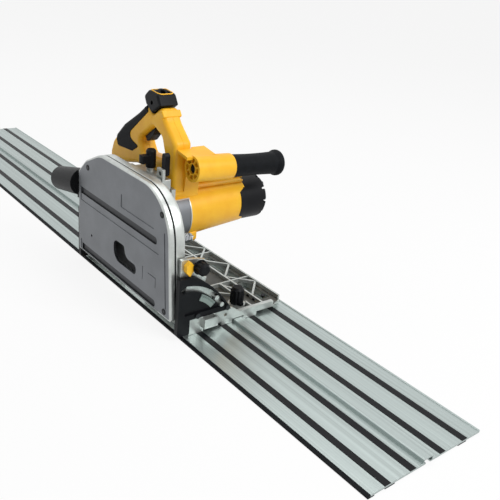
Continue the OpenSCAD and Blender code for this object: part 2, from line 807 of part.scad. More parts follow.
// Dark gasket in the joint between the cover and the housing
module guard_seal() {
  back = 0.9;
  lip = skin_t - back - 0.4;
  color(rubber_black) on_rail() difference() {
    slab(cover_in, housing_y) polygon(rounded(inset(guard_pts, back), 12));
    slab(cover_in - eps, housing_y + eps) cavity_2d(back + lip);
    for (p = screw_pts) rod_y(p, screw_boss_r + 1, cover_in - eps, housing_y + eps);
  }
}

// Lines that mark the cut's ends on the cover
module cut_marks_2d() {
  line = 1.2;
  translate([76.5, 58]) square([line, 21]);
  translate([92, 74]) square([21, line]);
  translate([112, 60]) square([line, 15]);
}

module guard_cover() {
  edge = 3;
  panel_d = 0.8;
  backing = 2;
  grooves = [[-123, 106, 130], [-119, 107, 33]];
  front_facet = 12;
  color(cast_grey) on_rail() difference() {
    union() {
      difference() {
        skinned(guard_pts, concat(edge_levels(cover_y, edge, 1), [[cover_in, 0]]), 12);
        slab(cover_y + skin_t, cover_in + eps) cavity_2d(skin_t);
      }
      for (p = screw_pts) rod_y(p, screw_boss_r, cover_y + skin_t - eps, cover_in);
      for (g = grooves) slab(cover_y + skin_t - eps, cover_y + skin_t + backing)
        translate([g[0] - 4, g[2] - groove_w / 2 - backing])
          square([g[1] - g[0] + 14, groove_w + 2 * backing]);
    }
    slab(cover_y - eps, cover_y + skin_t + eps) translate(window_at) window_2d();
    for (g = grooves) slab(cover_y - eps, cover_y + groove_d) long_groove_2d(g[0], g[1], g[2]);
    // Bands above and below each groove step down from the raised panels
    slab(cover_y - eps, cover_y + panel_d) {
      polygon(rounded([[-123, 113, 2], [119, 113, 2], [117, 139, 2], [-123, 139, 2]]));
      polygon(rounded([[-123, 26, 2], [123, 26, 2], [122, 45, 2], [-123, 45, 2]]));
    }
    slab(cover_y - eps, cover_y + panel_d)
      polygon(rounded([[10, 146, 2], [104, 146, 2], [104, 166, 2], [10, 166, 2]]));
    slab(cover_y - eps, cover_y + panel_d) cut_marks_2d();
    slab(cover_y - eps, cover_y + skin_t + eps) translate([-86, 62]) square(4);
    // Long facet that turns to the front edge
    slab(cover_y - eps, cover_y + panel_d)
      polygon([[guard_front - front_facet - 3, 40], [guard_front - front_facet, 40],
               [guard_front - front_facet - 11, 150], [guard_front - front_facet - 14, 150]]);
    for (p = screw_pts) {
      rod_y(p, screw_r + fit, cover_y - eps, cover_in + eps);
      rod_y(p, head_r + 0.4, cover_y - eps, cover_y + 2);
    }
  }
}

module cover_screws() {
  drive = 2;
  color(dark_steel) on_rail() for (p = screw_pts) difference() {
    union() {
      rod_y(p, head_r, cover_y + 0.2, cover_y + 2);
      rod_y(p, screw_r, cover_y + 2, wall_y - 1);
    }
    slab(cover_y - eps, cover_y + 1.2) translate(p) circle(drive, $fn = 6);
  }
}

// Spout that carries the dust out of the guard's rear, narrowing a little to its end
module dust_spout() {
  tube_r = spout_r + spout_wall;
  low = spout_z - 26;
  color(black_plastic) on_rail() difference() {
    union() {
      translate([guard_rear - spout_flange_t, cover_y + 1, low])
        cube([spout_flange_t, wall_y - cover_y - 1 - body_gap, 46]);
      intersection() {
        translate([guard_rear, spout_y, spout_z]) rotate([0, -90 - spout_slope, spout_yaw]) translate([0, 0, -12])
          cylinder(r1 = tube_r + spout_taper, r2 = tube_r, h = spout_l + 12);
        translate([guard_rear - 300, -300, -100]) cube([300 - spout_flange_t, 600, 500]);
      }
    }
    translate([guard_rear, spout_y, spout_z]) rotate([0, -90 - spout_slope, spout_yaw])
      translate([0, 0, 12]) cylinder(r = spout_r, h = spout_l);
    translate([guard_rear - 30, housing_y, spout_z - 16]) cube([30 + eps, wall_y - wall_t - housing_y, 26]);
  }
}

// Sector that carries the guard on the bevel bracket
module tilt_sector_2d(pointer) {
  lug_r = 122;
  intersection() {
    union() {
      difference() {
        translate(pivot) circle(guide_r + 7);
        translate(pivot) circle(guide_r - 17);
      }
      polygon([[wall_y, 34], [wall_y + 20, 34], [wall_y + 34, 84], [wall_y, 92]]);
      translate(pivot) intersection() {
        circle(lug_r);
        polygon([[pointer ? -2 : 9, 84], [38, 74], [38, 134], [pointer ? -2 : 9, 134]]);
      }
    }
    polygon([[pointer ? cut_y - 3 : wall_y, 29], [80, 29], [80, 200], [pointer ? cut_y - 3 : wall_y, 200],
             [pointer ? cut_y - 3 : wall_y, 92], [wall_y, 92], [wall_y, 34]]);
  }
}

module tilt_sector(x, way, pointer) {
  pin_x = way > 0 ? [x + sector_t - eps, x + sector_t + sector_gap + bracket_t - 1]
                  : [x - sector_gap - bracket_t + 1, x + eps];
  foot_x = way > 0 ? x - foot_l : x;
  difference() {
    union() {
      slice(x, x + sector_t) tilt_sector_2d(pointer);
      for (a = pin_angles) rod_x(on_circle(pivot, guide_r, a), guide_pin_r, pin_x[0], pin_x[1]);
      translate([foot_x, wall_y, 34]) cube([foot_l + sector_t, foot_w, 58]);
    }
    rod_x(knob_at, stud_r + run, x - eps, x + sector_t + eps);
  }
}

module front_tilt_sector() { color(alloy) on_rail() tilt_sector(front_sector_x, 1, true); }
module rear_tilt_sector() { color(alloy) on_rail() tilt_sector(rear_sector_x, -1, false); }

module bevel_pointer() {
  x = front_sector_x + sector_t;
  tip = rim_r + pivot[1] + 1.8;
  color(saw_yellow) on_rail() slice(x, x + bracket_t)
    polygon(rounded([[-92, tip, 0.5], [-86.5, tip + 7, 1], [-86.5, tip + 16, 2], [-91, tip + 22, 1],
                     [-98, tip + 16, 2], [-98, tip + 7, 1]], 3));
}

// Clamp knob whose flange bears on the bracket's rim
module bevel_knob(x, way) {
  stud_l = sector_t + sector_gap + bracket_t + body_gap + 2;
  translate([x, knob_at[0], knob_at[1]]) rotate([0, way * 90, 0]) {
    cylinder(r = knob_flange_r, h = knob_flange_t);
    translate([0, 0, knob_flange_t]) fluted(bevel_knob_r, bevel_knob_l - 3, 9, 2);
    translate([0, 0, knob_flange_t + bevel_knob_l - 3])
      cylinder(r1 = bevel_knob_r - 0.8, r2 = bevel_knob_r - 3, h = 3);
    translate([0, 0, -stud_l]) cylinder(r = stud_r, h = stud_l + eps);
  }
}

module front_bevel_knob() {
  color(black_plastic) on_rail() bevel_knob(front_bracket_x + bracket_t + body_gap, 1);
}
module rear_bevel_knob() { color(black_plastic) on_rail() bevel_knob(rear_bracket_x - body_gap, -1); }

// Plunge links

module plunge_link(p, q, eye_gap) {
  bar = 11;
  d = q - p;
  color(steel) on_rail() difference() {
    union() {
      for (e = [p, q]) rod_y(e, link_eye_r, link_y, link_y + link_t);
      slab(link_y, link_y + link_t) translate(p) rotate(bearing_of(d))
        translate([0, -bar / 2]) square([norm(d), bar]);
    }
    rod_y(p, pin_r + run, link_y - eps, link_y + link_t + eps);
    rod_y(q, pin_r + eye_gap, link_y - eps, link_y + link_t + eps);
    slab(link_y - eps, link_y + link_t + eps) translate(p) rotate(bearing_of(d))
      translate([norm(d) / 2, 0]) for (s = [-1, 1]) translate([s * 14, 0]) circle(3.4);
  }
}

module lower_link() { plunge_link(low_pivot, low_eye, run); }
module upper_link() { plunge_link(up_pivot, up_eye, body_gap); }

// Pins that stand on the guard's wall; the upper one also carries the spring
module link_pins() {
  clip = 1.6;
  color(steel) on_rail() for (p = [[low_pivot, 1], [up_pivot, 16]]) {
    rod_y(p[0], pin_r, wall_y - wall_t + 0.5, link_y + link_t + p[1] + clip);
    rod_y(p[0], pin_r + 1.6, link_y + link_t + p[1], link_y + link_t + p[1] + clip);
  }
}

// Torsion spring round the upper pin: a wire swept along its turns
spring_wire = 1;
spring_r = pin_r + spring_wire + 0.6;
spring_turns = 5.25;
spring_lead = 2.45;
spring_y = link_y + link_t + spring_wire + 0.4;
spring_steps = 8;
spring_sides = 6;
function spring_point(i) =
  let (a = 360 * i / spring_steps)
  [up_pivot[0] + spring_r * cos(a), spring_y + spring_lead * i / spring_steps,
   up_pivot[1] + spring_r * sin(a)];
spring_run = [for (i = [0:spring_turns * spring_steps]) spring_point(i)];
spring_path = concat(
  [spring_run[0] + [0, 0, -16], spring_run[0] + [0, 0, -8]],
  spring_run,
  [for (d = [6, 12]) spring_run[len(spring_run) - 1] + [d, 0, 0]]);

// Rings of a tube whose sides are square to its path
function tube_ring(path, i, r, sides) =
  let (k = len(path),
       t = unit(path[min(i + 1, k - 1)] - path[max(i - 1, 0)]),
       u = unit(cross(t, [0, 1, 0.001])),
       v = cross(t, u))
  [for (s = [0:sides - 1]) path[i] + r * (u * cos(360 * s / sides) + v * sin(360 * s / sides))];

module tube(path, r, sides) {
  k = len(path);
  polyhedron(
    points = [for (i = [0:k - 1]) each tube_ring(path, i, r, sides)],
    faces = [[for (s = [0:sides - 1]) s],
             [for (s = [sides - 1:-1:0]) (k - 1) * sides + s],
             for (i = [0:k - 2]) for (s = [0:sides - 1]) let (n = (s + 1) % sides)
               each [[i * sides + s, (i + 1) * sides + n, i * sides + n],
                     [i * sides + s, (i + 1) * sides + s, (i + 1) * sides + n]]]);
}

module return_spring() {
  color(steel) on_rail() tube(spring_path, spring_wire, spring_sides);
}

// Gear case

case_pts = [[case_x[0], case_low, 14], [case_x[1], case_low, 9],
            [case_x[1], case_top, 5], [case_x[0], case_top, 5]];

module case_2d() {
  polygon(rounded(case_pts));
  translate(arbor) circle(case_ring_r);
}

module gear_chamber_2d() {
  translate(arbor) circle(drive_r + gear_m + tip_gap);
  translate(idler_at) circle(idler_r + gear_m + tip_gap);
  translate(motor_at) circle(pinion_r + gear_m + tip_gap);
  polygon([arbor, idler_at, motor_at]);
}

module gear_case() {
  nose_seat = case_y + 1.5;
  lever_post = [lock_at[0] - 9, lock_at[1] - 12, case_top - 8];
  color(alloy) on_rail() difference() {
    union() {
      slab(case_y, case_y + 6) polygon(rounded(case_pts));
      slab(case_y, plate_y) polygon(rounded(inset(case_pts, 3)));
      rod_y(arbor, case_ring_r, case_y, plate_y);
      translate(lever_post) cube([16, 5, 21]);
      translate([depth_at[0], depth_at[1], case_top - 8]) cylinder(r = 6, h = 10);
    }
    slab(gear_y - 1, plate_y + eps) gear_chamber_2d();
    rod_y(arbor, spindle_r + 2, case_y - eps, plate_y);
    rod_y(arbor, bearing_nose[0], nose_seat, gear_y);
    rod_y(idler_at, idler_stub_r + run, gear_y - 6, gear_y);
    for (p = [low_eye, up_eye]) rod_y(p, pin_r + fit, case_y - eps, case_y + 8);
    translate([depth_at[0], depth_at[1], case_top - 24]) cylinder(r = depth_stem_r + run, h = 40);
    translate([lock_at[0], lever_post[1] + 6, lock_z])
      rotate([90, 0, 0]) cylinder(r = lock_pin_r + run, h = 8);
  }
}

module gear_plate() {
  color(alloy) on_rail() difference() {
    slab(plate_y, motor_y) {
      difference() {
        case_2d();
        translate([case_x[0] - eps, case_top - 18]) square([200, 40]);
      }
      translate(motor_at - [0, motor_flare / 2]) circle(motor_r + motor_flare / 2 - 1);
    }
    rod_y(arbor, bearing_tail[0], plate_y - eps, plate_y + bearing_tail[2]);
    rod_y(motor_at, bearing_motor[0], plate_y + 1, motor_y + eps);
    rod_y(motor_at, bearing_motor[1] + 2, plate_y - eps, motor_y);
    rod_y(idler_at, idler_stub_r + run, plate_y - eps, plate_y + 4);
  }
}

module carrier_pins() {
  color(steel) on_rail() for (p = [low_eye, up_eye]) rod_y(p, pin_r, link_y + 0.4, case_y + 7.5);
}

// Motor

// Tapered barrel whose top runs level while its lower side drops to the gear case
module barrel() {
  run_out = 12;
  span = motor_end - motor_y;
  slope = motor_flare / 2 / span;
  intersection() {
    translate([motor_at[0], motor_y, motor_at[1] - motor_flare / 2]) rotate([atan(slope) - 90, 0, 0])
      translate([0, 0, -run_out]) cylinder(r1 = motor_r + motor_flare / 2 + slope * run_out,
                                           r2 = motor_r - slope * run_out, h = span + 2 * run_out);
    translate([-300, motor_y, -100]) cube([900, span, 600]);
  }
}

// Places in line with the tilted boss of the front handle
module on_boss() {
  translate([boss_at[0], boss_y[0], boss_at[1]]) rotate([-boss_drop, 0, 0]) rotate([-90, 0, 0]) children();
}
boss_l = boss_y[1] - boss_y[0];

module motor_housing() {
  ridge = [5, 3.4];
  deck_t = 5;
  tongue = 7;
  tube_at = [motor_at[0] + 24, motor_at[1] + 32];
  color(saw_yellow) on_rail() difference() {
    union() {
      barrel();
      // Ridge along the top, which ends in a tongue over the end cap
      translate([motor_at[0] + 4, motor_y + 30, motor_at[1] + motor_r - 3])
        cube([ridge[0], motor_end + tongue - motor_y - 30, ridge[1] + 3]);
      translate([motor_at[0] + 4, motor_y + 30, motor_at[1] + motor_r - 3.2])
        cube([16, motor_end - motor_y - 30, 3]);
      // Tube of a housing screw
      rod_y(tube_at, 4.2, motor_y, motor_y + 24);
      // Front handle's boss, its deck to the main handle and its stem on the barrel
      on_boss() cylinder(r = boss_r, h = boss_l);
      slab(handle_low + 4, boss_y[1] - 26)
        polygon([[column_x - 4, boss_at[1] + boss_r + 3], [column_x - 4, boss_at[1] + boss_r + 3 - deck_t],
                 [boss_at[0], boss_at[1] + boss_r - 1 - deck_t], [boss_at[0], boss_at[1] + boss_r - 1.4]]);
      slab(boss_y[0] + 5, boss_y[1] - 36)
        polygon([[column_x - 12, motor_at[1] + 24], [column_x + 2, motor_at[1] + 18],
                 [column_x + 4, boss_at[1] - 22], [column_x + 12, boss_at[1]], [column_x - 8, boss_at[1]]]);
    }
    rod_y(motor_at, motor_in, motor_y - eps, motor_end + eps);
    rod_y(motor_at, cap_r + body_gap, motor_end, cap_end);
    on_boss() {
      translate([0, 0, -eps]) cylinder(r = boss_hole_r + run, h = boss_l + 2 * eps);
      // Ring of open cells round the hole at the blade side
      for (i = [0:7]) rotate(45 * i) linear_extrude(9) intersection() {
        difference() {
          circle(boss_r - 4);
          circle(boss_hole_r + 2);
        }
        polygon([[0, 0], on_circle([0, 0], 30, -17), on_circle([0, 0], 30, 17)]);
      }
    }
    handle_saddle();
  }
}

// Space of the main handle, kept clear of the housing's web
module handle_saddle() {
  slab(handle_low - body_gap, handle_high + body_gap) difference() {
    polygon(rounded(inset(shell_pts, -fit)));
    translate(saddle_at) circle(saddle_r);
  }
}

module end_cap() {
  slots = 10;
  color(black_plastic) on_rail() difference() {
    union() {
      difference() {
        union() {
          rod_y(motor_at, cap_r, motor_end, cap_end - 4);
          translate([motor_at[0], cap_end - 4, motor_at[1]])
            rotate([-90, 0, 0]) cylinder(r1 = cap_r, r2 = cap_r - 3.4, h = 4);
        }
        rod_y(motor_at, cap_r - cap_wall, motor_end - eps, cap_end - cap_wall);
      }
      rod_y(motor_at, bearing_rear[0] + 3, motor_end + 2, cap_end - cap_wall + eps);
    }
    rod_y(motor_at, bearing_rear[0], motor_end + 1, motor_end + 1 + bearing_rear[2]);
    rod_y(motor_at, bearing_rear[1] + 2, motor_end, motor_end + 20);
    // Air slots round the end and the dial's seat
    for (i = [0:slots - 1]) translate([motor_at[0], cap_end - 8, motor_at[1]]) rotate([0, 360 * i / slots, 0])
      translate([cap_r - 12, 0, -2]) cube([20, 10, 4]);
    rod_y(motor_at, dial_r + body_gap, cap_end - 2.4, cap_end + eps);
    for (a = screw_angles)
      rod_y(on_circle(motor_at, screw_ring, a), screw_r + fit, cap_end - 8, cap_end + eps);
  }
}

screw_angles = [54, 126, 234, 306];
screw_ring = cap_r - 7;

module housing_screws() {
  color(dark_steel) on_rail() for (a = screw_angles) {
    p = on_circle(motor_at, screw_ring, a);
    rod_y(p, head_r - 0.8, cap_end, cap_end + 1.6);
    rod_y(p, screw_r, cap_end - 7, cap_end);
  }
}

module stator() {
  color(dark_steel) on_rail() slab(stator_y[0], stator_y[1]) translate(motor_at) difference() {
    circle(motor_in - fit);
    circle(core_r + air_gap);
    // Winding pockets beside the two poles
    for (a = [0, 180]) rotate(a) intersection() {
      difference() {
        circle(motor_in - 5);
        circle(core_r - eps);
      }
      polygon([[0, 0], on_circle([0, 0], 60, -34), on_circle([0, 0], 60, 34)]);
    }
  }
}

module field_coils() {
  inner = core_r + 2;
  outer = motor_in - 5.2;
  color(copper) on_rail() {
    for (y = [[stator_y[0] - coil_l, stator_y[0]], [stator_y[1], stator_y[1] + coil_l]])
      slab(y[0], y[1]) translate(motor_at) difference() {
        circle(outer);
        circle(inner);
      }
  }
}

module ball_bearings() {
  color(steel) on_rail() {
    bearing(arbor, bearing_nose, case_y + 1.5 + fit);
    bearing(arbor, bearing_tail, plate_y);
    bearing(motor_at, bearing_motor, plate_y + 1);
    bearing(motor_at, bearing_rear, motor_end + 1);
  }
}

module brush_holders() {
  from = commutator_r + 1.5;
  color("#c8a44a") on_rail() for (s = [-1, 1]) difference() {
    translate([motor_at[0] + (s > 0 ? from : -motor_in + 0.3), brush_y - holder_s / 2,
               motor_at[1] - holder_s / 2])
      cube([motor_in - from - 0.3 - 1.2, holder_s, holder_s]);
    translate([motor_at[0] - motor_r, brush_y - brush_s / 2 - 0.1, motor_at[1] - brush_s / 2 - 0.1])
      cube([2 * motor_r, brush_s + 0.2, brush_s + 0.2]);
  }
}

module carbon_brushes() {
  l = 13;
  color("#3a3a3c") on_rail() for (s = [-1, 1])
    translate([motor_at[0] + (s > 0 ? commutator_r + body_gap : -commutator_r - body_gap - l),
               brush_y - brush_s / 2, motor_at[1] - brush_s / 2]) cube([l, brush_s, brush_s]);
}

// Turning parts of the motor

module armature_shaft() {
  color(steel) on_rail() difference() {
    union() {
      rod_y(motor_at, bearing_motor[1] - fit, gear_y - 0.5, motor_end + 9);
      slab(gear_y, gear_y + gear_w) translate(motor_at) gear_2d(teeth_pinion, pinion_phase);
      rod_y(motor_at, 5, motor_y + 2.5, motor_end - 1.5);
    }
  }
}

module armature_core() {
  slots = 12;
  color(dark_steel) on_rail() slab(stator_y[0], stator_y[1]) translate(motor_at) difference() {
    circle(core_r);
    circle(5 + fit);
    for (i = [0:slots - 1]) rotate(360 * i / slots) {
      translate([core_r - 7, 0]) circle(2.6);
      translate([core_r - 7, -0.9]) square([12, 1.8]);
    }
  }
}

module commutator() {
  color(copper) on_rail() slab(commutator_y[0], commutator_y[1]) translate(motor_at) difference() {
    circle(commutator_r);
    circle(5 + fit);
    for (i = [0:23]) rotate(15 * i) translate([commutator_r - 1.2, -0.25]) square([3, 0.5]);
  }
}

module cooling_fan() {
  color("#ddd8c8") on_rail() {
    slab(fan_y[0], fan_y[1]) translate(motor_at) difference() {
      union() {
        circle(9);
        for (i = [0:fan_blades - 1])
          rotate(360 * i / fan_blades) translate([8, -0.9]) square([fan_r - 8, 1.8]);
      }
      circle(5 + fit);
    }
    slab(fan_y[1], fan_y[1] + 1.8) translate(motor_at) difference() {
      circle(fan_r);
      circle(5 + fit);
    }
  }
}

module idler_gear() {
  color(steel) on_rail() {
    slab(gear_y, gear_y + gear_w) translate(idler_at) gear_2d(teeth_idler, idler_phase);
    rod_y(idler_at, idler_stub_r, gear_y - 5.4, gear_y + eps);
    rod_y(idler_at, idler_stub_r, gear_y + gear_w - eps, plate_y + 3.4);
  }
}

// Spindle and blade

module spindle() {
  color(steel) on_rail() difference() {
    union() {
      rod_y(arbor, spindle_r - fit, cut_y - 0.4, gear_y + gear_w);
      rod_y(arbor, spindle_tail_r - fit, gear_y, plate_y + bearing_tail[2] - 0.5);
    }
    rod_y(arbor, 4, cut_y - eps, cut_y + 16);
  }
}

module drive_gear() {
  color(steel) on_rail() slab(gear_y, gear_y + gear_w) translate(arbor) difference() {
    gear_2d(teeth_drive, dir_ai);
    circle(spindle_r);
  }
}

module inner_flange() {
  color(dark_steel) on_rail() difference() {
    union() {
      rod_y(arbor, 20, cut_y, cut_y + flange_in_t);
      rod_y(arbor, blade_bore / 2 - fit, blade_y + 0.3, cut_y + eps);
    }
    rod_y(arbor, spindle_r, blade_y - eps, cut_y + flange_in_t + eps);
  }
}

module blade_2d() {
  root_r = blade_r - 6;
  pitch = 360 / blade_teeth;
  difference() {
    polygon([for (i = [0:blade_teeth - 1]) let (a = pitch * i)
      each [on_circle([0, 0], root_r, a), on_circle([0, 0], blade_r, a + 0.1 * pitch),
            on_circle([0, 0], blade_r - 0.8, a + 0.42 * pitch),
             on_circle([0, 0], root_r + 1.4, a + 0.72 * pitch)]]);
    circle(blade_bore / 2);
    for (i = [0:3]) rotate(90 * i + 1.2 * pitch) {
      translate([root_r - 16, 0]) circle(2);
      translate([root_r - 16, -0.5]) square([20, 1]);
    }
  }
}

module blade() {
  color(steel) on_rail() slab(blade_y, cut_y) translate(arbor) blade_2d();
}

module outer_flange() {
  color(dark_steel) on_rail() difference() {
    rod_y(arbor, 17, blade_y - flange_out_t, blade_y);
    rod_y(arbor, 4 + fit, blade_y - flange_out_t - eps, blade_y + eps);
  }
}

module clamp_screw() {
  head = 3.4;
  color(dark_steel) on_rail() difference() {
    union() {
      rod_y(arbor, 7, blade_y - flange_out_t - head, blade_y - flange_out_t);
      rod_y(arbor, 4 - fit, blade_y - flange_out_t - eps, cut_y + 14);
    }
    slab(blade_y - flange_out_t - head - eps, blade_y - flange_out_t - 1)
      translate(arbor) circle(2.9, $fn = 6);
  }
}

// Main handle

// Places in line with the trigger: u along the grip, n into the loop
module in_grip() {
  translate([trigger_at[0], grip_y, trigger_at[1]]) rotate([0, -trigger_turn, 0]) children();
}

// Hollow for the switch, and the trigger's slot
module handle_bay() {
  in_grip() {
    translate([-33, -11, 6]) cube([57, 22, 13]);
    translate([-19, -trigger_w / 2 - 0.6, -6]) cube([40, trigger_w + 1.2, 16]);
    translate([trigger_pin[0], 0, -trigger_pin[1]]) rotate([90, 0, 0])
      cylinder(r = trigger_pin_r + run, h = 22, center = true);
  }
}

module handle_shell(side) {
  y0 = side < 0 ? handle_low : grip_y;
  y1 = side < 0 ? grip_y : handle_high;
  difference() {
    slab(y0, y1) difference() {
      polygon(rounded(shell_pts));
      polygon(rounded(hole_pts));
      polygon(rounded(inset(rubber_pts, -grip_gap)));
      translate(saddle_at) circle(saddle_r + fit);
    }
    handle_bay();
    if (side > 0) rod_y(release_at, release_r + body_gap, grip_y + 0.5, handle_high + eps);
  }
}

module handle_left_shell() { color(saw_yellow) on_rail() handle_shell(-1); }
module handle_right_shell() { color(saw_yellow) on_rail() handle_shell(1); }

module handle_grip() {
  y0 = handle_low - rubber_t;
  y1 = handle_high + rubber_t;
  color(rubber_black) on_rail()
    skinned(rubber_pts, concat(edge_levels(y0, grip_edge, 1), reversed(edge_levels(y1, grip_edge, -1))));
}

module handle_block() {
  y0 = handle_low - rubber_t;
  y1 = handle_high + rubber_t;
  color(black_plastic) on_rail() difference() {
    skinned(block_pts, concat(edge_levels(y0, 4, 1), reversed(edge_levels(y1, 4, -1))));
    inlet_axis() cylinder(r = cord_r + 6 + fit, h = 40);
    rod_y([-11, 291], 3, y0 - eps, y0 + 5);
  }
}

// Cord gland at the top of the handle
module inlet_axis() {
  translate([inlet_at[0], grip_y, inlet_at[1]]) rotate([0, inlet_lean, 0]) translate([0, 0, -14]) children();
}

module cord_inlet() {
  color(rubber_black) on_rail() inlet_axis() difference() {
    union() {
      cylinder(r = cord_r + 6, h = 14);
      translate([0, 0, 14]) cylinder(r1 = cord_r + 6, r2 = cord_r + 4, h = 3);
    }
    translate([0, 0, 3]) cylinder(r = cord_r, h = 40);
  }
}

module trigger_2d() {
  polygon(rounded([[-17, -7, 2], [18, -7, 2], [18, 1, 3], [6, 7, 8], [-8, 9.5, 5], [-16, 8, 3]]));
}

module trigger() {
  color(black_plastic) on_rail() in_grip() {
    rotate([90, 0, 0]) mirror([0, 1, 0]) linear_extrude(trigger_w, center = true) trigger_2d();
    translate([trigger_pin[0], 0, -trigger_pin[1]]) rotate([90, 0, 0])
      cylinder(r = trigger_pin_r, h = trigger_w + 6, center = true);
  }
}

module power_switch() {
  color(dark_steel) on_rail() in_grip() translate([-32.8, -9, 6.3]) cube([13, 18, 12]);
}

module plunge_release() {
  color(black_plastic) on_rail() {
    rod_y(release_at, release_r, grip_y + 5, handle_high + 2);
    translate([release_at[0], handle_high + 2, release_at[1]]) rotate([-90, 0, 0])
      cylinder(r1 = release_r, r2 = release_r - 1.5, h = 1.5);
  }
}

module front_handle() {
  grip_from = boss_l + 0.2;
  flare = 9;
  color(rubber_black) on_rail() on_boss() {
    translate([0, 0, 12]) cylinder(r = boss_hole_r, h = boss_l - 12 + eps);
    translate([0, 0, grip_from]) rotate_extrude()
      polygon(concat([[0, 0], [front_grip_r - 0.6, 0], [front_grip_r, 1.5]],
                     [for (t = [0:0.1:1])
                        [front_grip_r - 0.9 * sin(180 * t), 4 + (front_grip_l - flare - 12) * t]],
                     [for (t = [0:15:90])
                        [front_grip_r + 2.8 * (1 - cos(2 * t)) / 2, front_grip_l - flare - 6 + 8 * t / 90]],
                     [for (t = [0:15:90])
                        [front_grip_r + 2.8 - 5 * (1 - cos(t)), front_grip_l - 5 + 5 * sin(t)]],
                     [[0, front_grip_l]]));
  }
}

// Controls

module depth_knob() {
  base = case_top + 2 + body_gap;
  hub = [7.5, 25];
  arm = [17.5, 12, 12];
  arm_up = 7;
  color(black_plastic) on_rail() translate([depth_at[0], depth_at[1], 0]) {
    translate([0, 0, case_top - 20]) cylinder(r = depth_stem_r, h = 24 + base - case_top);
    translate([0, 0, base]) cylinder(r = hub[0], h = hub[1]);
    translate([0, 0, base + hub[1]]) cylinder(r1 = hub[0], r2 = hub[0] - 2, h = 2.4);
    translate([0, 0, base + arm_up]) intersection() {
      translate([-arm[1] / 2, -2 * arm[0], 0]) cube([arm[1], 2 * arm[0], arm[2]]);
      cylinder(r = arm[0], h = 20);
    }
  }
}

module blade_lock_lever() {
  w = 10;
  t = 8;
  l = 24;
  y0 = lock_at[1] - 12 + 5 + body_gap;
  color(black_plastic) on_rail() {
    slab(y0, y0 + t) translate([lock_at[0], lock_z]) {
      circle(w / 2);
      translate([-w / 2, 0]) square([w, l]);
      translate([0, l]) circle(w / 2);
    }
    rod_y([lock_at[0], lock_z], lock_pin_r, y0 - 5, y0 + eps);
  }
}

module speed_dial() {
  color(black_plastic) on_rail() translate([motor_at[0], cap_end - 2, motor_at[1]]) rotate([-90, 0, 0])
    fluted(dial_r, 5, 18, 0.9);
}

guide_rail();
glide_strips();
splinter_guard();
grip_strips();
shoe();
front_bevel_bracket();
rear_bevel_bracket();
bevel_scale();
bracket_screws();
front_rail_adjuster();
rear_rail_adjuster();
guard_housing();
guard_cover();
guard_seal();
cover_screws();
dust_spout();
front_tilt_sector();
rear_tilt_sector();
bevel_pointer();
link_pins();
return_spring();
front_bevel_knob();
rear_bevel_knob();
lower_link();
upper_link();
gear_case();
gear_plate();
carrier_pins();
motor_housing();
end_cap();
handle_left_shell();
handle_right_shell();
handle_grip();
handle_block();
cord_inlet();
front_handle();
stator();
field_coils();
ball_bearings();
brush_holders();
carbon_brushes();
housing_screws();
power_switch();
depth_knob();
blade_lock_lever();
trigger();
plunge_release();
speed_dial();
spindle();
drive_gear();
inner_flange();
blade();
outer_flange();
clamp_screw();
armature_shaft();
armature_core();
commutator();
cooling_fan();
idler_gear();
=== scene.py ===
"""Looks of a track plunge saw and its guide rail, made over the saw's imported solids."""

import json
import math

import bmesh
import bpy
from mathutils import Matrix, Vector
from mathutils.geometry import convex_hull_2d, tessellate_polygon


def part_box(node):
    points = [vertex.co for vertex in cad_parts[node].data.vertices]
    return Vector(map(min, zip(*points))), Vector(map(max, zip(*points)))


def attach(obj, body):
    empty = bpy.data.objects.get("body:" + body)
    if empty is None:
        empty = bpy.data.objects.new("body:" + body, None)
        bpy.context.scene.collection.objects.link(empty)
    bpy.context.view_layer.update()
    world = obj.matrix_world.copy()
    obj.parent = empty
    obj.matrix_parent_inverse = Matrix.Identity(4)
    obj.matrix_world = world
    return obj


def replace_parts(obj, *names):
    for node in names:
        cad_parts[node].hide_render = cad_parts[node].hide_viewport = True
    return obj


bl_info = {
    "name": "Track Plunge Saw",
    "version": (1, 0, 0),
    "blender": (4, 5, 0),
    "location": "View3D > Sidebar > Saw",
    "description": "Finishes, trim and stage of a track plunge saw on its guide rail",
    "category": "Add Mesh",
}

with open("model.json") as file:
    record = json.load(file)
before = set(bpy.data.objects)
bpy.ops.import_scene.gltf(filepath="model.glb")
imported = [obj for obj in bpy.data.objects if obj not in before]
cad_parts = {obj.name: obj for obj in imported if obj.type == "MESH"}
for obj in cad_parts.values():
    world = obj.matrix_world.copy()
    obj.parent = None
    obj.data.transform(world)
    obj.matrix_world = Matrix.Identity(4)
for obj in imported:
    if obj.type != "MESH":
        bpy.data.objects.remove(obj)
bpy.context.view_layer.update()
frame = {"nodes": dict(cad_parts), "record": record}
NODES = frame["nodes"]
RECORD = frame["record"]
SLOT_OF = {part["node"]: part["material_slot"] for part in RECORD["subparts"]}
BODY_OF = {node: body for body, members in RECORD["behaviour"]["bodies"].items() for node in members}
MM = 0.001
# Corners closer together than this are one corner
WELD = 0.01 * MM
# Degrees between faces that count as one flat face, above which an edge is rounded, and above which
# the shading breaks at an edge, on cast or cut shapes and on full curves
FLAT = 0.6
HARD = 32.0
SHARP = 34.0
SHARP_ON_CURVES = 50.0

# The arbor's place in the saw's own coordinates, in mm from the saw's datum on the rail's top
ARBOR = (16.0, 108.0)
BLADE_LOW, BLADE_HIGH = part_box("blade")
BLADE_MID = (BLADE_LOW + BLADE_HIGH) / 2
DATUM = Vector((BLADE_MID.x - ARBOR[0] * MM, 0.0, BLADE_MID.z - ARBOR[1] * MM))


# Settings


def linear(code):
    """Linear colour of an sRGB hex code."""
    parts = [int(code[i:i + 2], 16) / 255 for i in (0, 2, 4)]
    return tuple(c / 12.92 if c <= 0.04045 else ((c + 0.055) / 1.055) ** 2.4 for c in parts)


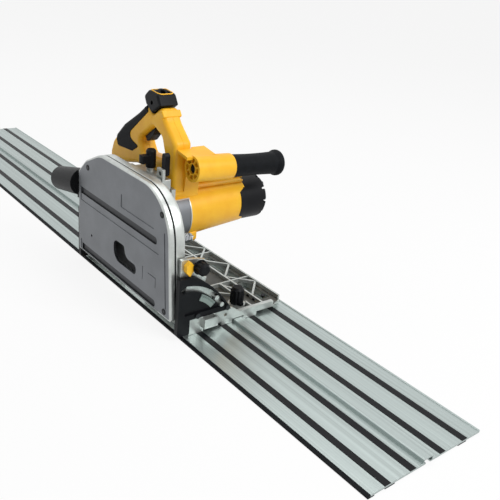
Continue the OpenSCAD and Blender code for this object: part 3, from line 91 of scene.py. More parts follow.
def colour(name, code, about):
    """Colour property whose default is an sRGB hex code."""
    return bpy.props.FloatVectorProperty(
        name=name, description=about, subtype="COLOR", size=3, min=0, max=1, default=linear(code))


def length(name, mm, about):
    """Length property whose default is given in millimetres."""
    return bpy.props.FloatProperty(name=name, description=about, unit="LENGTH", min=0, default=mm * MM)


class SawColours(bpy.types.PropertyGroup):
    """Colours of the saw's finishes."""

    housing: colour("Housing", "FDC42C", "Moulded yellow of the motor housing and the handle")
    housing_shade: colour("Housing shade", "F5B31C", "Yellow in the mould's slightly denser places")
    black: colour("Black plastic", "0E0F12", "Moulded black of the knobs, the end cap and the brackets")
    rubber: colour("Rubber", "0F1114", "Black of the soft grips, the guard's seal and the rail's strips")
    cover: colour("Guard cover", "74777B", "Metallic grey paint of the guard's face")
    # Painted shade: the long grooves in the cover take a darker grey for the shade that falls in them
    cover_groove_shade: colour("Cover grooves", "2E3033", "Darker paint in the long grooves")
    silver: colour("Cast silver", "C2C6C3", "Bare castings of the guard and the shoe")
    # Painted shade: the shoe's floor between its ribs takes a darker grey for the shade that falls there
    shoe_floor_shade: colour("Shoe floor", "5C5C58", "As-cast floor between the shoe's ribs")
    rail: colour("Rail", "AEB8B6", "Brushed aluminium of the rail")
    scale: colour("Scale", "8D9A95", "Grey-green of the degree plates")
    steel: colour("Steel", "B9BCBF", "Ground steel of the blade and the shafts")
    dark_steel: colour("Dark steel", "3A3B3D", "Blackened steel of the screws, flanges and cores")
    copper: colour("Copper", "B8713C", "Bare copper of the coils and the commutator")
    brass: colour("Brass", "C8A44A", "Bare brass of the brush holders")
    carbon: colour("Carbon", "343436", "Pressed carbon of the brushes")
    carbon_shade: colour("Carbon shade", "28282A", "Denser places of the pressed carbon")
    fan: colour("Fan", "DDD8C8", "Natural nylon of the cooling fan")
    fan_shade: colour("Fan shade", "CFC9B6", "Denser places of the natural nylon")


class SawSizes(bpy.types.PropertyGroup):
    """Sizes of the finish."""

    rail_edge: length("Rail edge", 0.3, "Rounding of the rail's edges")
    cast_edge: length("Casting edge", 0.8, "Rounding of the castings' edges")
    guard_edge: length("Guard edge", 1.6, "Rounding of the guard housing's edges")
    plastic_edge: length("Plastic edge", 1.0, "Rounding of the moulded plastic's edges")
    small_edge: length("Small edge", 0.45, "Rounding of the knobs' and levers' edges")
    handle_edge: length("Handle edge", 7.0, "Rounding of the handle's sides")
    grip_edge: length("Grip edge", 8.0, "Rounding of the rubber grip's back")


def colours():
    """Colours that the panel shows."""
    return bpy.context.scene.saw_colours


def sizes():
    """Sizes that the panel shows."""
    return bpy.context.scene.saw_sizes


# Nodes and finishes


def add(tree, kind, inputs=None, **settings):
    """Adds a node, sets its fields, and sets or links its inputs."""
    node = tree.nodes.new(kind)
    for field, value in settings.items():
        setattr(node, field, value)
    for key, value in (inputs or {}).items():
        if isinstance(value, bpy.types.NodeSocket):
            tree.links.new(value, node.inputs[key])
        else:
            node.inputs[key].default_value = value
    return node


def cleared(owner):
    """Emptied node tree of a material or a world."""
    owner.use_nodes = True
    owner.node_tree.nodes.clear()
    return owner.node_tree


def new_finish(name, metallic, roughness, specular=0.5):
    """Empty finish with a shader whose even values are set on its own sockets."""
    material = bpy.data.materials.new(name)
    tree = cleared(material)
    shader = add(tree, "ShaderNodeBsdfPrincipled",
                 {"Metallic": metallic, "Roughness": roughness, "Specular IOR Level": specular})
    add(tree, "ShaderNodeOutputMaterial", {"Surface": shader.outputs["BSDF"]})
    where = add(tree, "ShaderNodeTexCoord").outputs["Object"]
    return material, tree, shader, where


def cloudy(tree, where, grain_mm, stretch=(1, 1, 1), detail=3.0):
    """Soft noise whose patches are about grain_mm across, drawn out along each axis by stretch."""
    scale = [1 / (grain_mm * MM * s) for s in stretch]
    spread = add(tree, "ShaderNodeMapping", {"Vector": where, "Scale": scale})
    noise = add(tree, "ShaderNodeTexNoise",
                {"Vector": spread.outputs["Vector"], "Scale": 1.0, "Detail": detail, "Roughness": 0.55})
    return noise.outputs["Fac"]


def tinted(tree, shader, fac, dark, light):
    """Base colour that runs from dark to light with a pattern."""
    ramp = add(tree, "ShaderNodeValToRGB", {"Fac": fac})
    for stop, position, tone in zip(ramp.color_ramp.elements, (0.3, 0.7), (dark, light)):
        stop.position = position
        stop.color = (*tone, 1)
    tree.links.new(ramp.outputs["Color"], shader.inputs["Base Color"])


def uneven_gloss(tree, shader, fac, low, high):
    """Roughness that wanders between two values with a pattern."""
    spread = add(tree, "ShaderNodeMapRange", {"Value": fac, "To Min": low, "To Max": high})
    tree.links.new(spread.outputs["Result"], shader.inputs["Roughness"])


def bumped(tree, shader, fac, depth_mm, strength):
    """Surface relief from a pattern."""
    bump = add(tree, "ShaderNodeBump", {"Height": fac, "Distance": depth_mm * MM, "Strength": strength})
    tree.links.new(bump.outputs["Normal"], shader.inputs["Normal"])


def shaded(base, factor):
    """A colour made darker or lighter."""
    return tuple(min(1.0, c * factor) for c in base)


def brushed_aluminium_rail():
    """Extruded and brushed aluminium: long fine lines along the rail break up the reflections.

    The real lines are about 0.2 mm apart; they are drawn 3 mm apart so that they show.
    """
    material, tree, shader, where = new_finish("brushed_aluminium_rail", metallic=0.92, roughness=0.36)
    lines = cloudy(tree, where, 3.0, stretch=(180, 1, 1), detail=4.0)
    base = tuple(colours().rail)
    tinted(tree, shader, lines, shaded(base, 0.84), shaded(base, 1.1))
    uneven_gloss(tree, shader, lines, low=0.3, high=0.46)
    bumped(tree, shader, lines, depth_mm=0.05, strength=0.35)
    return material


def cast_aluminium(name, base, rough=(0.36, 0.5)):
    """Die-cast and blasted aluminium: a fine matt grain under a soft metal sheen."""
    material, tree, shader, where = new_finish(name, metallic=0.85, roughness=0.44)
    tinted(tree, shader, cloudy(tree, where, 14.0), shaded(base, 0.86), shaded(base, 1.06))
    uneven_gloss(tree, shader, cloudy(tree, where, 4.0), *rough)
    bumped(tree, shader, cloudy(tree, where, 1.4, detail=4.0), depth_mm=0.08, strength=0.3)
    return material


def metallic_paint(name, base):
    """Grey paint with aluminium flake: an even satin sheen with a very fine sparkle."""
    material, tree, shader, where = new_finish(name, metallic=0.55, roughness=0.42)
    tinted(tree, shader, cloudy(tree, where, 40.0), shaded(base, 0.9), shaded(base, 1.08))
    uneven_gloss(tree, shader, cloudy(tree, where, 1.6, detail=4.0), low=0.36, high=0.52)
    bumped(tree, shader, cloudy(tree, where, 1.2, detail=4.0), depth_mm=0.04, strength=0.25)
    return material


def moulded_nylon(name, base, shade, gloss=(0.34, 0.46), specular=0.4):
    """Injection-moulded nylon: a dense colour with a faint spark-eroded texture and a satin gloss."""
    material, tree, shader, where = new_finish(name, metallic=0.0, roughness=0.4, specular=specular)
    tinted(tree, shader, cloudy(tree, where, 28.0), shade, base)
    uneven_gloss(tree, shader, cloudy(tree, where, 3.0), *gloss)
    bumped(tree, shader, cloudy(tree, where, 0.9, detail=4.0), depth_mm=0.06, strength=0.28)
    return material


def soft_rubber():
    """Over-moulded soft rubber: a fine pebble grain that scatters the light."""
    material, tree, shader, where = new_finish("soft_rubber", metallic=0.0, roughness=0.6, specular=0.1)
    base = tuple(colours().rubber)
    pebble = 1.1 * MM
    cells = add(tree, "ShaderNodeTexVoronoi", {"Vector": where, "Scale": 1 / pebble}).outputs["Distance"]
    tinted(tree, shader, cloudy(tree, where, 9.0), shaded(base, 0.75), shaded(base, 1.25))
    uneven_gloss(tree, shader, cloudy(tree, where, 4.0), low=0.5, high=0.68)
    bumped(tree, shader, cells, depth_mm=0.12, strength=0.35)
    return material


def ground_steel(name, base, rough=(0.24, 0.4)):
    """Ground metal: short fine scratches and a bright, slightly broken reflection."""
    material, tree, shader, where = new_finish(name, metallic=1.0, roughness=0.3)
    lines = cloudy(tree, where, 1.2, stretch=(8, 1, 1), detail=4.0)
    tinted(tree, shader, lines, shaded(base, 0.85), shaded(base, 1.08))
    uneven_gloss(tree, shader, lines, *rough)
    bumped(tree, shader, lines, depth_mm=0.03, strength=0.3)
    return material


FINISHES = {}


def make_finishes():
    """Every finish of the saw, by the name of its slot in the record."""
    c = {field: tuple(getattr(colours(), field)) for field in SawColours.__annotations__}
    black = (shaded(c["black"], 1.2), shaded(c["black"], 0.8))
    FINISHES.update({
        "rail_alloy": brushed_aluminium_rail(),
        "shoe_alloy": cast_aluminium("cast_aluminium_shoe", c["silver"]),
        # Painted shade: a darker cast finish for the shade on the shoe's floor between its ribs
        "shoe_floor_shade": cast_aluminium("cast_aluminium_as_cast", c["shoe_floor_shade"], rough=(0.46, 0.6)),
        "guard_silver": cast_aluminium("cast_aluminium_guard", c["silver"], rough=(0.3, 0.42)),
        "gear_alloy": cast_aluminium("cast_aluminium_gear_case", shaded(c["silver"], 0.85)),
        "cover_grey": metallic_paint("flake_paint_cover", c["cover"]),
        # Painted shade: dark paint for the shade in the cover's long grooves
        "cover_groove_shade": metallic_paint("flake_paint_groove", c["cover_groove_shade"]),
        "scale_grey": metallic_paint("printed_plate_scale", c["scale"]),
        "housing_yellow": moulded_nylon("moulded_nylon_yellow", c["housing"], c["housing_shade"]),
        "black_plastic": moulded_nylon("moulded_nylon_black", *black, gloss=(0.36, 0.5), specular=0.14),
        "rubber": soft_rubber(),
        "steel": ground_steel("ground_steel", c["steel"]),
        "dark_steel": ground_steel("blackened_steel", c["dark_steel"], rough=(0.34, 0.5)),
        "copper": ground_steel("bare_copper", c["copper"]),
        "brass": ground_steel("bare_brass", c["brass"]),
        "carbon": moulded_nylon("pressed_carbon", c["carbon"], c["carbon_shade"], gloss=(0.5, 0.6)),
        "fan_plastic": moulded_nylon("moulded_nylon_natural", c["fan"], c["fan_shade"]),
    })


# Pieces


def saw(x, y, z):
    """A point of the saw, given in mm from its datum."""
    return DATUM + Vector((x, y, z)) * MM


def linked(name, data):
    """New object in the scene."""
    thing = bpy.data.objects.new(name, data)
    bpy.context.scene.collection.objects.link(thing)
    return thing


def mesh_of(name, bm):
    """Mesh made from a bmesh, which is freed."""
    mesh = bpy.data.meshes.new(name)
    bm.to_mesh(mesh)
    bm.free()
    return mesh


def plain_mesh(piece):
    """Mesh of a piece with its modifiers applied."""
    graph = bpy.context.evaluated_depsgraph_get()
    return bpy.data.meshes.new_from_object(piece.evaluated_get(graph))


def finished(name, bm, body, slot, sharp=SHARP):
    """Turns a bmesh into a piece that rides on a body, with smooth faces between its sharp edges."""
    return placed(name, mesh_of(name, bm), body, slot, sharp)


def placed(name, mesh, body, slot, sharp=SHARP):
    """Puts a mesh into the scene as a piece that rides on a body."""
    stale = mesh.attributes.get("custom_normal")
    if stale:
        mesh.attributes.remove(stale)
    mesh.polygons.foreach_set("use_smooth", [True] * len(mesh.polygons))
    mesh.set_sharp_from_angle(angle=math.radians(sharp))
    if not mesh.materials:
        mesh.materials.append(FINISHES[slot])
    piece = linked(name, mesh)
    weigh = piece.modifiers.new("flat_faces", "WEIGHTED_NORMAL")
    weigh.weight = 100
    weigh.keep_sharp = True
    piece.data = plain_mesh(piece)
    piece.modifiers.clear()
    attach(piece, body)
    return piece


def merged_copy(node, whole=True):
    """A solid's mesh with its corners joined and, where wanted, its flat faces whole."""
    bm = bmesh.new()
    bm.from_mesh(NODES[node].data)
    bmesh.ops.remove_doubles(bm, verts=bm.verts, dist=WELD)
    if whole:
        bmesh.ops.dissolve_limit(bm, angle_limit=math.radians(FLAT), verts=bm.verts, edges=bm.edges,
                                 delimit={"NORMAL"})
    return bm


def softened(node, edge):
    """Copy of a solid with rounded edges, which takes that solid's place."""
    bm = merged_copy(node)
    hard = [e for e in bm.edges if len(e.link_faces) == 2 and e.calc_face_angle(0) > math.radians(HARD)]
    bmesh.ops.bevel(bm, geom=hard, offset=edge, offset_type="OFFSET", segments=2, profile=0.5,
                    affect="EDGES", clamp_overlap=False)
    piece = finished(node + "_body", bm, BODY_OF[node], SLOT_OF[node])
    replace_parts(piece, node)


def crisp(node):
    """Copy of a solid that keeps its edges sharp, which takes that solid's place."""
    piece = finished(node + "_body", merged_copy(node, whole=False), BODY_OF[node], SLOT_OF[node])
    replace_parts(piece, node)


def repaint(node):
    """Gives a solid that keeps its shape its finish."""
    mesh = NODES[node].data
    mesh.materials.clear()
    mesh.materials.append(FINISHES[SLOT_OF[node]])


# Outlines, plates and rings


def rounded_outline(points, steps=8):
    """Closed outline through (x, z, radius) points with round corners."""
    out = []
    for i, (x, z, radius) in enumerate(points):
        q = Vector((x, z))
        a = (Vector(points[i - 1][:2]) - q).normalized()
        b = (Vector(points[(i + 1) % len(points)][:2]) - q).normalized()
        half = a.angle(b) / 2
        centre = q + (a + b).normalized() * radius / math.sin(half)
        t0 = q + a * radius / math.tan(half) - centre
        t1 = q + b * radius / math.tan(half) - centre
        turn = math.atan2(t0.x * t1.y - t0.y * t1.x, t0.dot(t1))
        start = math.atan2(t0.y, t0.x)
        for k in range(steps + 1):
            angle = start + turn * k / steps
            out.append(centre + Vector((math.cos(angle), math.sin(angle))) * radius)
    return out


def turned(loop, anticlockwise):
    """An outline that runs the wanted way round."""
    area = sum(a.x * b.y - a.y * b.x for a, b in zip(loop, loop[1:] + loop[:1]))
    return loop if (area > 0) == anticlockwise else loop[::-1]


def pulled_in(loop, distance):
    """An outline moved to its left by a distance."""
    out = []
    for i, p in enumerate(loop):
        d1 = (p - loop[i - 1]).normalized()
        d2 = (loop[(i + 1) % len(loop)] - p).normalized()
        n1 = Vector((-d1.y, d1.x))
        n2 = Vector((-d2.y, d2.x))
        out.append(p + (n1 + n2) * distance / max(0.5, 1 + n1.dot(n2)))
    return out


def rim_levels(y0, y1, edge, seam=None, steps=5):
    """Depths and insets of a plate with quarter-round rims and, where wanted, a fine parting groove."""
    wide, floor, deep = 0.35, 0.1, 0.4
    rim = [(edge * (1 - math.cos(t)), edge * (1 - math.sin(t)))
           for t in [math.pi / 2 * k / steps for k in range(steps + 1)]]
    groove = ((-wide, 0), (-floor, deep), (floor, deep), (wide, 0)) if seam is not None else ()
    near = [(y0 + up, inset) for up, inset in rim]
    far = [(y1 - up, inset) for up, inset in reversed(rim)]
    return near + [(seam + aside, inset) for aside, inset in groove] + far


def join_rings(bm, a, b):
    """Faces between two closed rings of as many corners."""
    for k in range(len(a)):
        j = (k + 1) % len(a)
        bm.faces.new((a[k], a[j], b[j], b[k]))


def pillow(outer, holes, levels, share=None):
    """Closed plate in X and Z whose rims follow the levels. Share scales the inset point by point, in mm."""
    bm = bmesh.new()
    loops = [turned(outer, True)] + [turned(hole, False) for hole in holes]
    caps = ([], [])
    for loop in loops:
        sides = [q - p for p, q in zip(loop, pulled_in(loop, 1.0))]
        shares = [share(p) if share else 1.0 for p in loop]
        rings = []
        for y, inset in levels:
            ring = [p + d * inset * s for p, d, s in zip(loop, sides, shares)]
            rings.append([bm.verts.new(saw(q.x, y, q.y)) for q in ring])
        for low, high in zip(rings, rings[1:]):
            join_rings(bm, low, high)
        caps[0].append(rings[0])
        caps[1].append(rings[-1])
    for rings in caps:
        flat = [v for ring in rings for v in ring]
        for triangle in tessellate_polygon([[(v.co.x, v.co.z, 0) for v in ring] for ring in rings]):
            bm.faces.new([flat[i] for i in triangle])
    bmesh.ops.recalc_face_normals(bm, faces=bm.faces)
    return bm


def bar(name, path, radius, body, slot):
    """Closed ring of round wire along a path of points in mm."""
    bm = bmesh.new()
    sides = 10
    turns = [2 * math.pi * k / sides for k in range(sides)]
    flat = (path[1] - path[0]).cross(path[len(path) // 3] - path[0]).normalized()
    rings = []
    for i, at in enumerate(path):
        along = (path[(i + 1) % len(path)] - path[i - 1]).normalized()
        out = along.cross(flat)
        spokes = [out * math.cos(t) + flat * math.sin(t) for t in turns]
        rings.append([bm.verts.new(saw(*(at + spoke * radius))) for spoke in spokes])
    for a, b in zip(rings, rings[1:] + rings[:1]):
        join_rings(bm, a, b)
    bmesh.ops.recalc_face_normals(bm, faces=bm.faces)
    finished(name, bm, body, slot)


# Plates on the motor's barrel

# The barrel's two ends along Y with its radius and the height of its axis at each, and its axis in X
BARREL = (-55.0, 78.0)
BARREL_RADII = (42.5, 36.8)
BARREL_HEIGHTS = (133.8, 139.5)
BARREL_X = 29.0


def on_barrel(angle, y, proud):
    """A point that stands proud of the barrel, by its angle from straight ahead."""
    share = (y - BARREL[0]) / (BARREL[1] - BARREL[0])
    radius = BARREL_RADII[0] + (BARREL_RADII[1] - BARREL_RADII[0]) * share + proud
    height = BARREL_HEIGHTS[0] + (BARREL_HEIGHTS[1] - BARREL_HEIGHTS[0]) * share
    turn = math.radians(angle)
    return saw(BARREL_X + radius * math.cos(turn), y, height + radius * math.sin(turn))


def border(grid):
    """Edges round a grid of corners, as pairs in order."""
    ring = [row[0] for row in grid] + grid[-1][1:] + [row[-1] for row in grid[-2::-1]] + grid[0][-2:0:-1]
    return list(zip(ring, ring[1:] + ring[:1]))


def barrel_patch(name, slot, angles, near, far, proud):
    """Thin closed plate on the barrel between two edges that may change with the angle."""
    sunk, columns, rows = 0.6, 48, 8
    bm = bmesh.new()
    grids = []
    for lift in (-sunk, proud):
        grid = []
        for i in range(columns + 1):
            angle = angles[0] + (angles[1] - angles[0]) * i / columns
            a, b = near(angle), far(angle)
            ys = [a + (b - a) * j / rows for j in range(rows + 1)]
            grid.append([bm.verts.new(on_barrel(angle, y, lift)) for y in ys])
        for i in range(columns):
            for j in range(rows):
                bm.faces.new((grid[i][j], grid[i + 1][j], grid[i + 1][j + 1], grid[i][j + 1]))
        grids.append(grid)
    for low, high in zip(*[border(grid) for grid in grids]):
        bm.faces.new((low[0], low[1], high[1], high[0]))
    bmesh.ops.recalc_face_normals(bm, faces=bm.faces)
    finished(name, bm, "motor_unit", slot)


# Trees of nodes that grow what repeats


def new_tree(name, fields):
    """Empty tree of geometry nodes with named inputs, given as name to socket type."""
    tree = bpy.data.node_groups.new(name, "GeometryNodeTree")
    for field, kind in fields.items():
        tree.interface.new_socket(field, in_out="INPUT", socket_type=kind)
    tree.interface.new_socket("Geometry", in_out="OUTPUT", socket_type="NodeSocketGeometry")
    return tree, add(tree, "NodeGroupInput").outputs


def dressed(tree, instances, finish):
    """A tree whose instances end as one mesh with a finish."""
    whole = add(tree, "GeometryNodeRealizeInstances", {"Geometry": instances})
    painted = add(tree, "GeometryNodeSetMaterial",
                  {"Geometry": whole.outputs["Geometry"], "Material": finish})
    add(tree, "NodeGroupOutput", {"Geometry": painted.outputs["Geometry"]})
    return tree


def degree_marks():
    """Short bars in a row along an arc about the tilt axis."""
    tree, given = new_tree("degree_marks", {
        "Marks": "NodeSocketInt", "Radius": "NodeSocketFloat", "Start": "NodeSocketFloat",
        "Sweep": "NodeSocketFloat", "Mark Length": "NodeSocketFloat", "Mark Width": "NodeSocketFloat",
        "Mark Height": "NodeSocketFloat", "Place": "NodeSocketVector", "Finish": "NodeSocketMaterial"})
    arc = add(tree, "GeometryNodeCurveArc", {"Radius": given["Radius"], "Start Angle": given["Start"],
                                             "Sweep Angle": given["Sweep"], "Resolution": 64})
    points = add(tree, "GeometryNodeCurveToPoints", {"Curve": arc.outputs["Curve"], "Count": given["Marks"]})
    size = add(tree, "ShaderNodeCombineXYZ",
               {"X": given["Mark Length"], "Y": given["Mark Height"], "Z": given["Mark Width"]})
    mark = add(tree, "GeometryNodeMeshCube", {"Size": size.outputs["Vector"]})
    row = add(tree, "GeometryNodeInstanceOnPoints", {
        "Points": points.outputs["Points"], "Instance": mark.outputs["Mesh"],
        "Rotation": points.outputs["Rotation"]})
    upright = add(tree, "GeometryNodeTransform", {
        "Geometry": row.outputs["Instances"], "Translation": given["Place"],
        "Rotation": (math.pi / 2, 0, math.pi / 2)})
    return dressed(tree, upright.outputs["Geometry"], given["Finish"])


def round_heads():
    """A short bar with a given number of sides on every corner of a mesh."""
    tree, given = new_tree("round_heads", {
        "Geometry": "NodeSocketGeometry", "Sides": "NodeSocketInt", "Radius": "NodeSocketFloat",
        "Height": "NodeSocketFloat", "Turn": "NodeSocketVector", "Finish": "NodeSocketMaterial"})
    head = add(tree, "GeometryNodeMeshCylinder", {
        "Vertices": given["Sides"], "Radius": given["Radius"], "Depth": given["Height"]})
    set_out = add(tree, "GeometryNodeInstanceOnPoints", {
        "Points": given["Geometry"], "Instance": head.outputs["Mesh"], "Rotation": given["Turn"]})
    return dressed(tree, set_out.outputs["Instances"], given["Finish"])


def grown(name, tree, inputs, body, slot, base=None):
    """Plain mesh of what a tree of nodes makes, riding on a body."""
    piece = linked(name, base or bpy.data.meshes.new(name))
    nodes = piece.modifiers.new("nodes", "NODES")
    nodes.node_group = tree
    values = {**inputs, "Finish": FINISHES[slot]}
    for socket in tree.interface.items_tree:
        if socket.in_out == "INPUT" and socket.name in values:
            nodes[socket.identifier] = values[socket.name]
    piece.data = plain_mesh(piece)
    piece.modifiers.clear()
    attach(piece, body)


def screws(name, points, turn, head, body):
    """Black socket screws on points in mm: a round head and a six-sided socket that shows as steel."""
    radius, height = head
    socket_share, socket_proud = 0.45, 0.1
    tree = round_heads()
    for part, sides, wide, tall, slot in (
            ("head", 24, radius, height, "black_plastic"),
            ("socket", 6, radius * socket_share, height + socket_proud, "dark_steel")):
        base = bpy.data.meshes.new(name + "_" + part)
        base.from_pydata([saw(*at) for at in points], [], [])
        inputs = {"Sides": sides, "Radius": wide * MM, "Height": tall * MM, "Turn": turn}
        grown(name + "_" + part, tree, inputs, body, slot, base)


# Operators


class SAW_OT_rail(bpy.types.Operator):
    """Brushes the rail and dresses its strips."""

    bl_idname = "saw.rail"
    bl_label = "Guide rail"

    def execute(self, context):
        softened("guide_rail", sizes().rail_edge)
        for node in ("glide_strips", "splinter_guard", "grip_strips"):
            repaint(node)
        return {"FINISHED"}


# Height of the shoe's floor above the rail's top, and how far above it a face still counts as floor and is
# painted darker as the shade between the ribs
FLOOR_TOP = 9.3
FLOOR_SLACK = 0.6
# Screws on the shoe's floor, and the radius and height of their heads
SHOE_SCREWS = [(x, y, FLOOR_TOP + 1) for x, y in ((122, 52), (136, 52), (134, 71), (-130, 52), (-134, 71))]
SHOE_HEAD = (3.4, 3.0)
# The tilt axis in Y and Z, and the degree marks about it: how many, their radius, first angle and sweep
# in degrees, and each one's length, width and height
TILT_AT = (-100.2, -4.5)
MARKS = 13
MARK_RADIUS = 70.6
MARK_ARC = (41, 22)
MARK_SIZE = (3.2, 0.5, 0.3)


class SAW_OT_shoe(bpy.types.Operator):
    """Dresses the shoe's casting, the bevel brackets and the rail adjusters."""

    bl_idname = "saw.shoe"
    bl_label = "Shoe and brackets"

    def execute(self, context):
        self.casting()
        for node in ("front_bevel_bracket", "rear_bevel_bracket"):
            crisp(node)
        for node in ("bevel_scale", "bracket_screws"):
            repaint(node)
        for node in ("front_rail_adjuster", "rear_rail_adjuster"):
            softened(node, sizes().small_edge)
        self.degrees()
        screws("shoe_screws", SHOE_SCREWS, (0, 0, 0), SHOE_HEAD, BODY_OF["shoe"])
        return {"FINISHED"}

    def casting(self):
        """Shoe whose floor between its bright ribs is painted darker, as the shade there."""
        bm = merged_copy("shoe", whole=False)
        top = saw(0, 0, FLOOR_TOP + FLOOR_SLACK).z
        upward = 0.9
        # Low faces that look up take the darker finish: painted shade on the floor between the ribs
        ribs, floor = 0, 1
        for face in bm.faces:
            low = face.normal.z > upward and max(v.co.z for v in face.verts) < top
            face.material_index = floor if low else ribs
        mesh = mesh_of("shoe_body", bm)
        for slot in ("shoe_alloy", "shoe_floor_shade"):
            mesh.materials.append(FINISHES[slot])
        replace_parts(placed("shoe_body", mesh, BODY_OF["shoe"], "shoe_alloy"), "shoe")

    def degrees(self):
        """Degree marks on both scale plates, grown along an arc by nodes."""
        low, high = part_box("bevel_scale")
        axis = saw(0, *TILT_AT)
        start, sweep = [math.radians(angle) for angle in MARK_ARC]
        long, wide, tall = [size * MM for size in MARK_SIZE]
        tree = degree_marks()
        for end, face in (("front", high.x), ("rear", low.x)):
            inputs = {"Marks": MARKS, "Radius": MARK_RADIUS * MM, "Start": start, "Sweep": sweep,
                      "Mark Length": long, "Mark Width": wide, "Mark Height": tall,
                      "Place": (face, axis.y, axis.z)}
            grown("degrees_" + end, tree, inputs, BODY_OF["bevel_scale"], "black_plastic")


# Screws in the guard's cover, and the radius and height of their heads
COVER_SCREWS = ((123, -115, 174), (138, -115, 34), (-97, -115, 174))
COVER_HEAD = (4.6, 1.2)


class SAW_OT_guard(bpy.types.Operator):
    """Paints the guard's cover and rounds its housing."""

    bl_idname = "saw.guard"
    bl_label = "Guard"

    def execute(self, context):
        self.cover()
        screws("cover_screws", COVER_SCREWS, (math.pi / 2, 0, 0), COVER_HEAD, "head")
        softened("guard_housing", sizes().guard_edge)
        for node in ("front_tilt_sector", "rear_tilt_sector", "dust_spout"):
            softened(node, sizes().cast_edge)
        for node in ("guard_seal", "cover_screws", "link_pins", "return_spring", "lower_link", "upper_link"):
            repaint(node)
        for node in ("bevel_pointer", "front_bevel_knob", "rear_bevel_knob"):
            softened(node, sizes().small_edge)
        return {"FINISHED"}

    def cover(self):
        """Grey face, long grooves painted dark as the shade in them, and bare silver edge of the cover."""
        bm = merged_copy("guard_cover")
        hull = self.outline(bm)
        # Faces deep in the grooves take a dark paint that stands for the shade in them
        bare, paint, groove = 0, 1, 2
        band = 3.4 * MM
        groove_shade_from = min(v.co.y for v in bm.verts) + 1.2 * MM
        for face in bm.faces:
            centre = face.calc_center_median()
            inside = min(self.depth(centre, a, b) for a, b in hull)
            if inside < band:
                face.material_index = bare
            elif centre.y > groove_shade_from:
                face.material_index = groove
            else:
                face.material_index = paint
        mesh = mesh_of("guard_cover_body", bm)
        for slot in ("guard_silver", "cover_grey", "cover_groove_shade"):
            mesh.materials.append(FINISHES[slot])
        piece = placed("guard_cover_body", mesh, "head", "cover_grey")
        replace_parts(piece, "guard_cover")

    def outline(self, bm):
        """Edges of the cover's convex outline in X and Z, as pairs of points."""
        flat = bmesh.new()
        for v in bm.verts:
            flat.verts.new((v.co.x, 0, v.co.z))
        bmesh.ops.remove_doubles(flat, verts=flat.verts, dist=WELD)
        points = [(v.co.x, v.co.z) for v in flat.verts]
        flat.free()
        ring = [points[i] for i in convex_hull_2d(points)]
        return list(zip(ring, ring[1:] + ring[:1]))

    def depth(self, p, a, b):
        """Distance of a point inside one edge of the outline."""
        return ((b[0] - a[0]) * (p.z - a[1]) - (b[1] - a[1]) * (p.x - a[0])) / max(math.dist(a, b), WELD)


# Blade-side face of the front handle's boss, its tilt in degrees, and the radii of its hole and its cells
BOSS_AT = (80.5, -42.0, 216.5)
BOSS_DROP = 2.8
BOSS_HOLE = 7.4
BOSS_RING = 15.0
# How far the trim on the barrel stands out, and how far it runs past the barrel's ends
TRIM_PROUD = 0.6
TRIM_PAST = 0.2


